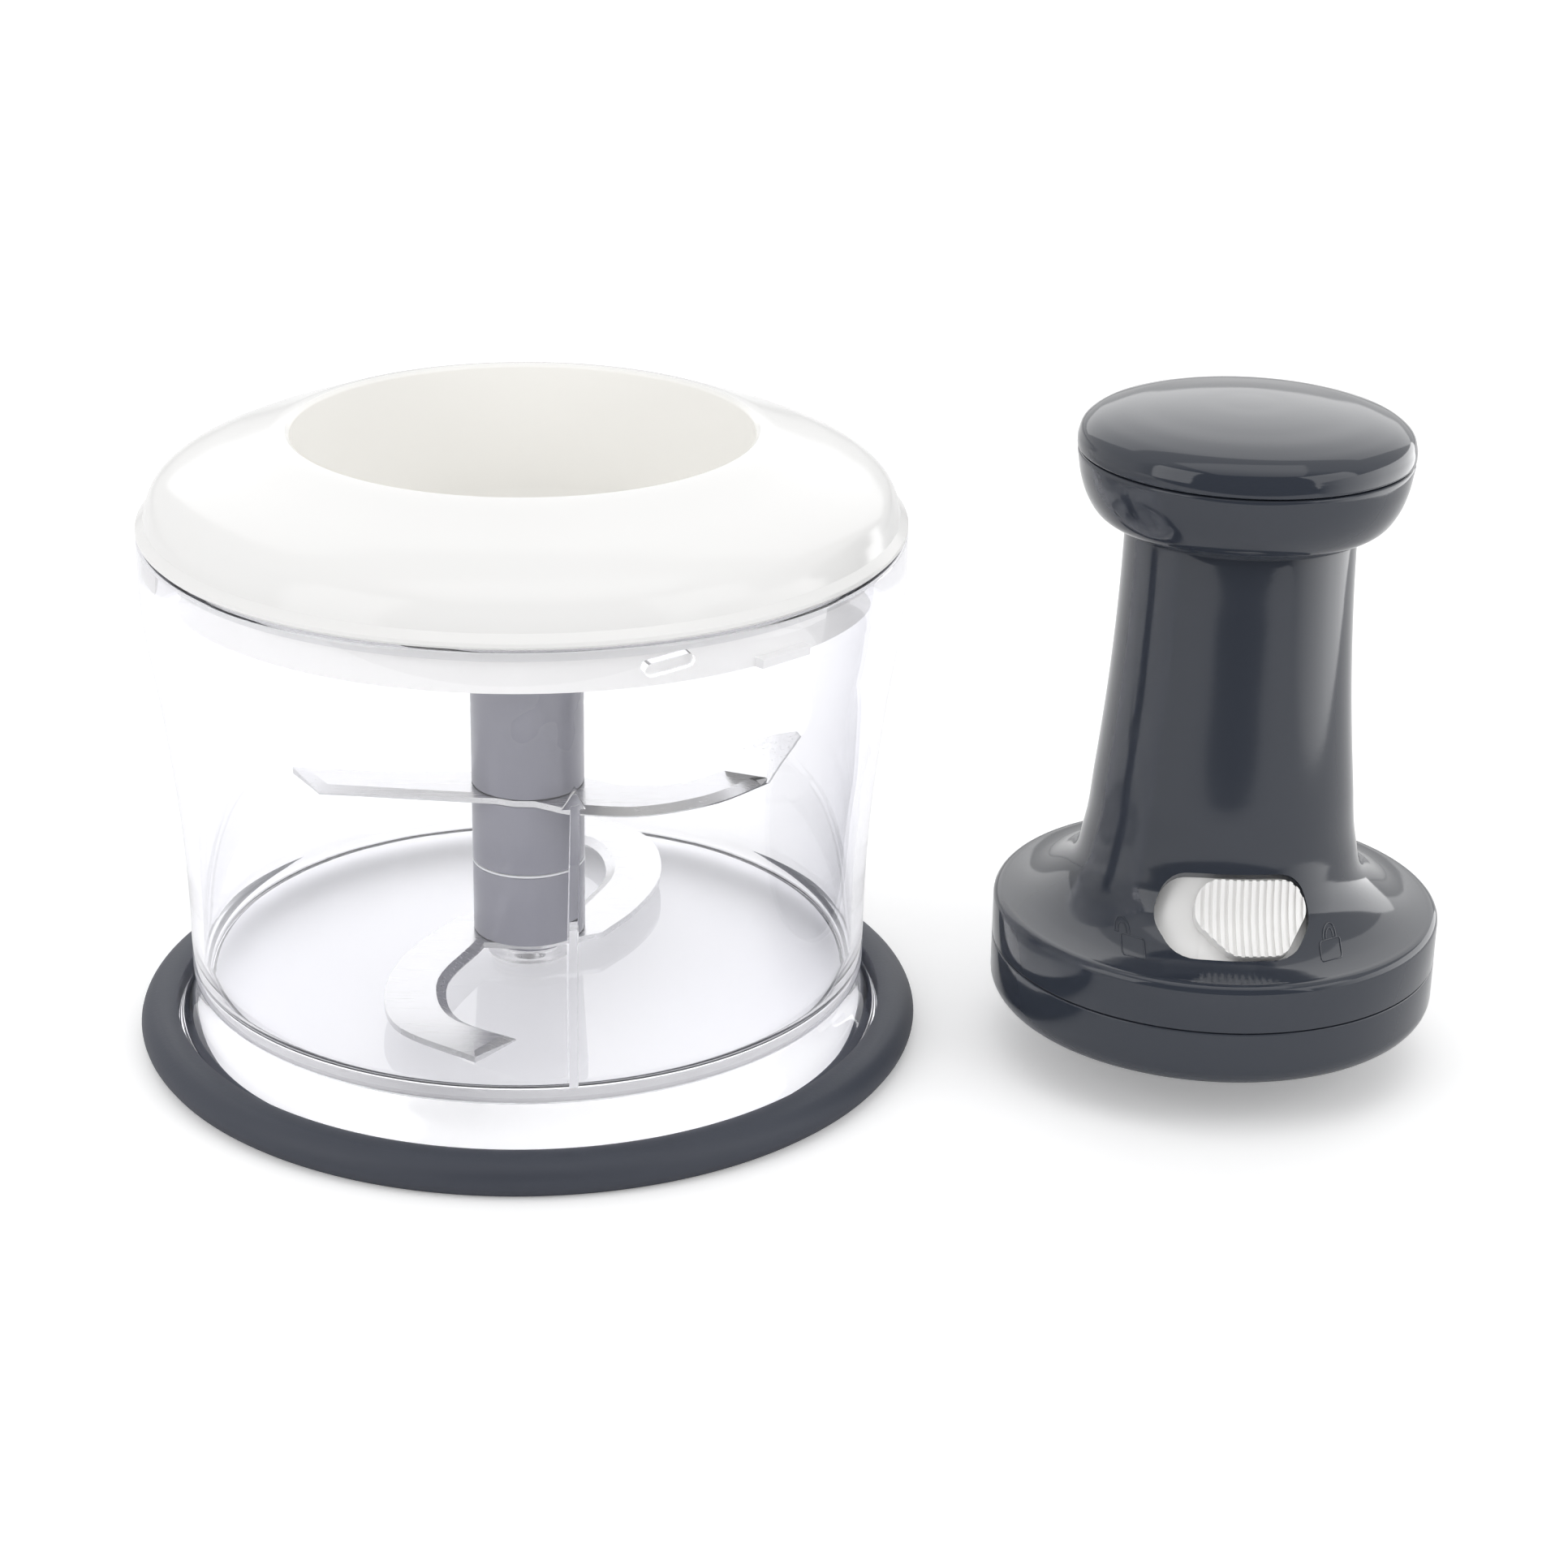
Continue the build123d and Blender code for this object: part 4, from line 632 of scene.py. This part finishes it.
# ---------------------------------------------------------------- column housing
# Glossy slate moulding of shoulder, bell and column in one, with a rounded window for
# the lock slider in its front.
head = (81.15, -4.5)
shoulder_radius = 41.7
bell_line = [(40.1, 30.4), (38.195, 30.701), (35.706, 31.303), (31.604, 33.298), (27.4, 36.996),
             (25.3, 44.013), (24.0, 55.015), (22.2, 74.024), (21.2, 91.991), (20.9, 104.1)]
bell = smooth(bell_line, 6)
bell_inside = [(38.3, 27.9)] + smooth([(35.4, 28.9), (30.3, 31.3), (25.4, 35.8), (23.1, 43.7), (21.7, 54.8),
                                       (19.9, 73.9), (18.9, 91.9), (18.6, 104.1)], 6)
housing = turned("column_shell", rounded([(shoulder_radius, 21.4, 0.25), (shoulder_radius, 30.4, 1.6)]
                                         + bell[1:-1] + [(20.9, 104.1, 0.4)] + bell_inside[::-1]
                                         + [(39.4, 26.9), (39.4, 21.4)], 5), head, 192, 35)
window_down = Vector((0, -0.6564, -0.7544))
window_out = Vector((0, -0.7544, 0.6564))
window_middle = Vector((head[0], head[1] - 31.0, 37.65))


def window_path(corners, lift):
    """Points of an outline drawn on the window's slanting face, from sideways and downward sizes."""
    return [(window_middle + Vector((x, 0, 0)) + window_down * d + window_out * lift) * mm
            for x, d in corners]


window_shape = rounded([(-12.1, -10.6, 4.2), (0.0, -9.3, 50.0), (12.1, -10.6, 4.2), (14.7, -3.6, 7.5),
                        (10.6, 5.4, 6.5), (0.0, 6.2, 40.0), (-10.6, 5.4, 6.5), (-14.7, -3.6, 7.5)], 5)
cut_reach = 9
opening = slab("opening", window_path(window_shape, -cut_reach), window_out * 2 * cut_reach * mm)
housing = worked(housing, opening, 'DIFFERENCE', 35)
slate = moulded("glossy_slate", (0.030, 0.035, 0.047), (0.034, 0.040, 0.054), 16, 0.06, 0.04, 0.02)
made(housing, slate, "head", "slate_gloss", "column_housing")

# ---------------------------------------------------------------- lock marks
# An open and a closed padlock, moulded as fine raised lines on the shoulder at either
# side of the window.


def on_shoulder(sideways, height):
    """A point on the front of the housing's outer face."""
    radius = max(r1 + (r2 - r1) * (height - z1) / (z2 - z1)
                 for (r1, z1), (r2, z2) in zip(bell, bell[1:]) if z1 <= height <= z2)
    return Vector((head[0] + sideways, head[1] - (radius**2 - sideways**2) ** 0.5, height)) * mm


def raised_line(name, path):
    """A fine rounded ridge along a closed line."""
    drawn(name, path)
    bpy.ops.object.mode_set(mode='OBJECT')
    bpy.ops.object.convert(target='CURVE')
    ridge = bpy.context.object
    ridge.data.bevel_depth = 0.15 * mm
    ridge.data.bevel_resolution = 2
    bpy.ops.object.convert(target='MESH')
    bpy.ops.object.shade_smooth()
    return bpy.context.object


padlock_body = rounded([(-2.0, 0.0, 0.35), (2.0, 0.0, 0.35), (2.0, 1.9, 0.35), (-2.0, 1.9, 0.35)], 3)
bow = [pi * k / 10 for k in range(11)]
shackle = ([(1.25, 1.95)] + [(1.25 * cos(a), 2.3 + 1.45 * sin(a)) for a in bow] + [(-1.25, 1.95)]
           + [(-0.7, 1.95)] + [(-0.7 * cos(a), 2.3 + 0.85 * sin(a)) for a in bow] + [(0.7, 1.95)])
mark_lines = []
for name, middle, foot, shift in (("open", -18.0, 31.25, -1.7), ("closed", 17.8, 31.35, 0.0)):
    for part, line in (("body", padlock_body), ("shackle", [(x + shift, h) for x, h in shackle])):
        mark_lines.append(raised_line(name + "_" + part,
                                      [on_shoulder(middle + x, foot + h) for x, h in line]))
bpy.ops.object.select_all(action='DESELECT')
for line in mark_lines:
    line.select_set(True)
marks = mark_lines[0]
bpy.context.view_layer.objects.active = marks
bpy.ops.object.join()
marks.name = marks.data.name = "lock_marks"
made(marks, slate, "head", "slate_gloss")

# ---------------------------------------------------------------- base ring and bottom cover
# Lower shell of the head, rounded underneath, and the flat cover with the spigot, held
# by three countersunk screws.
base_outline = rounded([(34.0, 10.0), (shoulder_radius, 10.0, 4.2), (shoulder_radius, 21.2, 0.25),
                        (39.3, 21.2), (39.3, 23.6, 0.3), (37.6, 23.6), (37.6, 14.8), (36.6, 12.4),
                        (34.0, 12.4)], 8)
base = turned("base_shell", base_outline, head, 192, 35)
made(base, slate, "head", "slate_gloss", "base_ring")
dressed(slate, "bottom_cover")
dressed(ground_steel("bright_screws", 0.5), "base_screws", "knob_screws")

# ---------------------------------------------------------------- lock slider
# White thumb pad with fine upright ribs that slides in the window over a plain white
# track; its stem turns the bolt inside, and a thin tongue at its back covers the stem's slot.
dressed(satin_white, "slider_track")
dressed(bush_white, "lock_bolt")
dressed(satin_white, "lock_slider")


def into_wall(line, depth):
    """A line of radius and height, moved square to itself into the wall."""
    moved = []
    for before, here, after in zip(line, line[1:], line[2:]):
        along = (Vector(after) - Vector(before)).normalized()
        moved.append((here[0] - along.y * depth, here[1] + along.x * depth))
    return moved


tongue_start = radians(-66)
tongue_turn = radians(36)
tongue_line = bell[12:26]
tongue_front = into_wall(tongue_line, 2.33)
tongue_back = into_wall(tongue_line, 2.50)
tongue = drawn("slider_tongue", [round_about(head, tongue_start, r, z)
                                 for r, z in tongue_front + tongue_back[::-1]])
bpy.ops.mesh.edge_face_add()
bpy.ops.mesh.spin(steps=36, angle=tongue_turn, center=Vector((*head, 0)) * mm, axis=(0, 0, 1))
finished(tongue)
made(tongue, satin_white, "lock", "white_satin")

# ---------------------------------------------------------------- knob
# Pressing knob of two glossy slate shells: a flared skirt and a domed cap snapped into
# it, with a fine seam between.
skirt_outside = smooth([(23.8, 104.4), (26.42, 106.08), (28.28, 108.9), (29.5, 112.5), (30.1, 116.2)], 5)
skirt_inside = smooth([(27.9, 116.0), (27.3, 113.1), (26.3, 110.1), (25.0, 108.0), (22.9, 106.6)], 4)
skirt = turned("knob_tray", rounded(skirt_outside + [(30.2, 117.3, 0.45), (28.0, 117.3)] + skirt_inside
                                    + [(16.5, 106.6), (16.5, 104.4)], 4), head, 160, 35)
made(skirt, slate, "plunger", "slate_gloss", "knob_skirt")
cap_top = smooth([(3.0, 126.48), (10.0, 126.25), (17.5, 125.55), (24.5, 124.3), (27.8, 123.0), (29.6, 121.4),
                  (30.25, 119.4)], 5)
cap = turned("knob_dome", rounded([(0, 126.5)] + cap_top
                                  + [(30.3, 117.5, 0.5), (26.0, 117.5), (26.0, 113.0), (24.4, 113.0),
                                     (24.4, 120.6), (17.0, 123.2), (0, 124.3)], 4), head, 160, 35)
made(cap, slate, "plunger", "slate_gloss", "knob_cap")
dressed(hub_slate, "piston_tube")

# ---------------------------------------------------------------- drive
# Steel rod with two spiral grooves, the nut that drives it, its bearing, clutch and
# socket, and the return spring: all inside the head.
dressed(ground_steel("turned_rod", 1.57), "drive_rod", "rod_circlip", "return_spring")
dressed(bush_white, "nut_carrier", "helical_nut", "rod_bearing", "spring_seat", "guide_bush", "clutch_hub",
        "drive_socket")
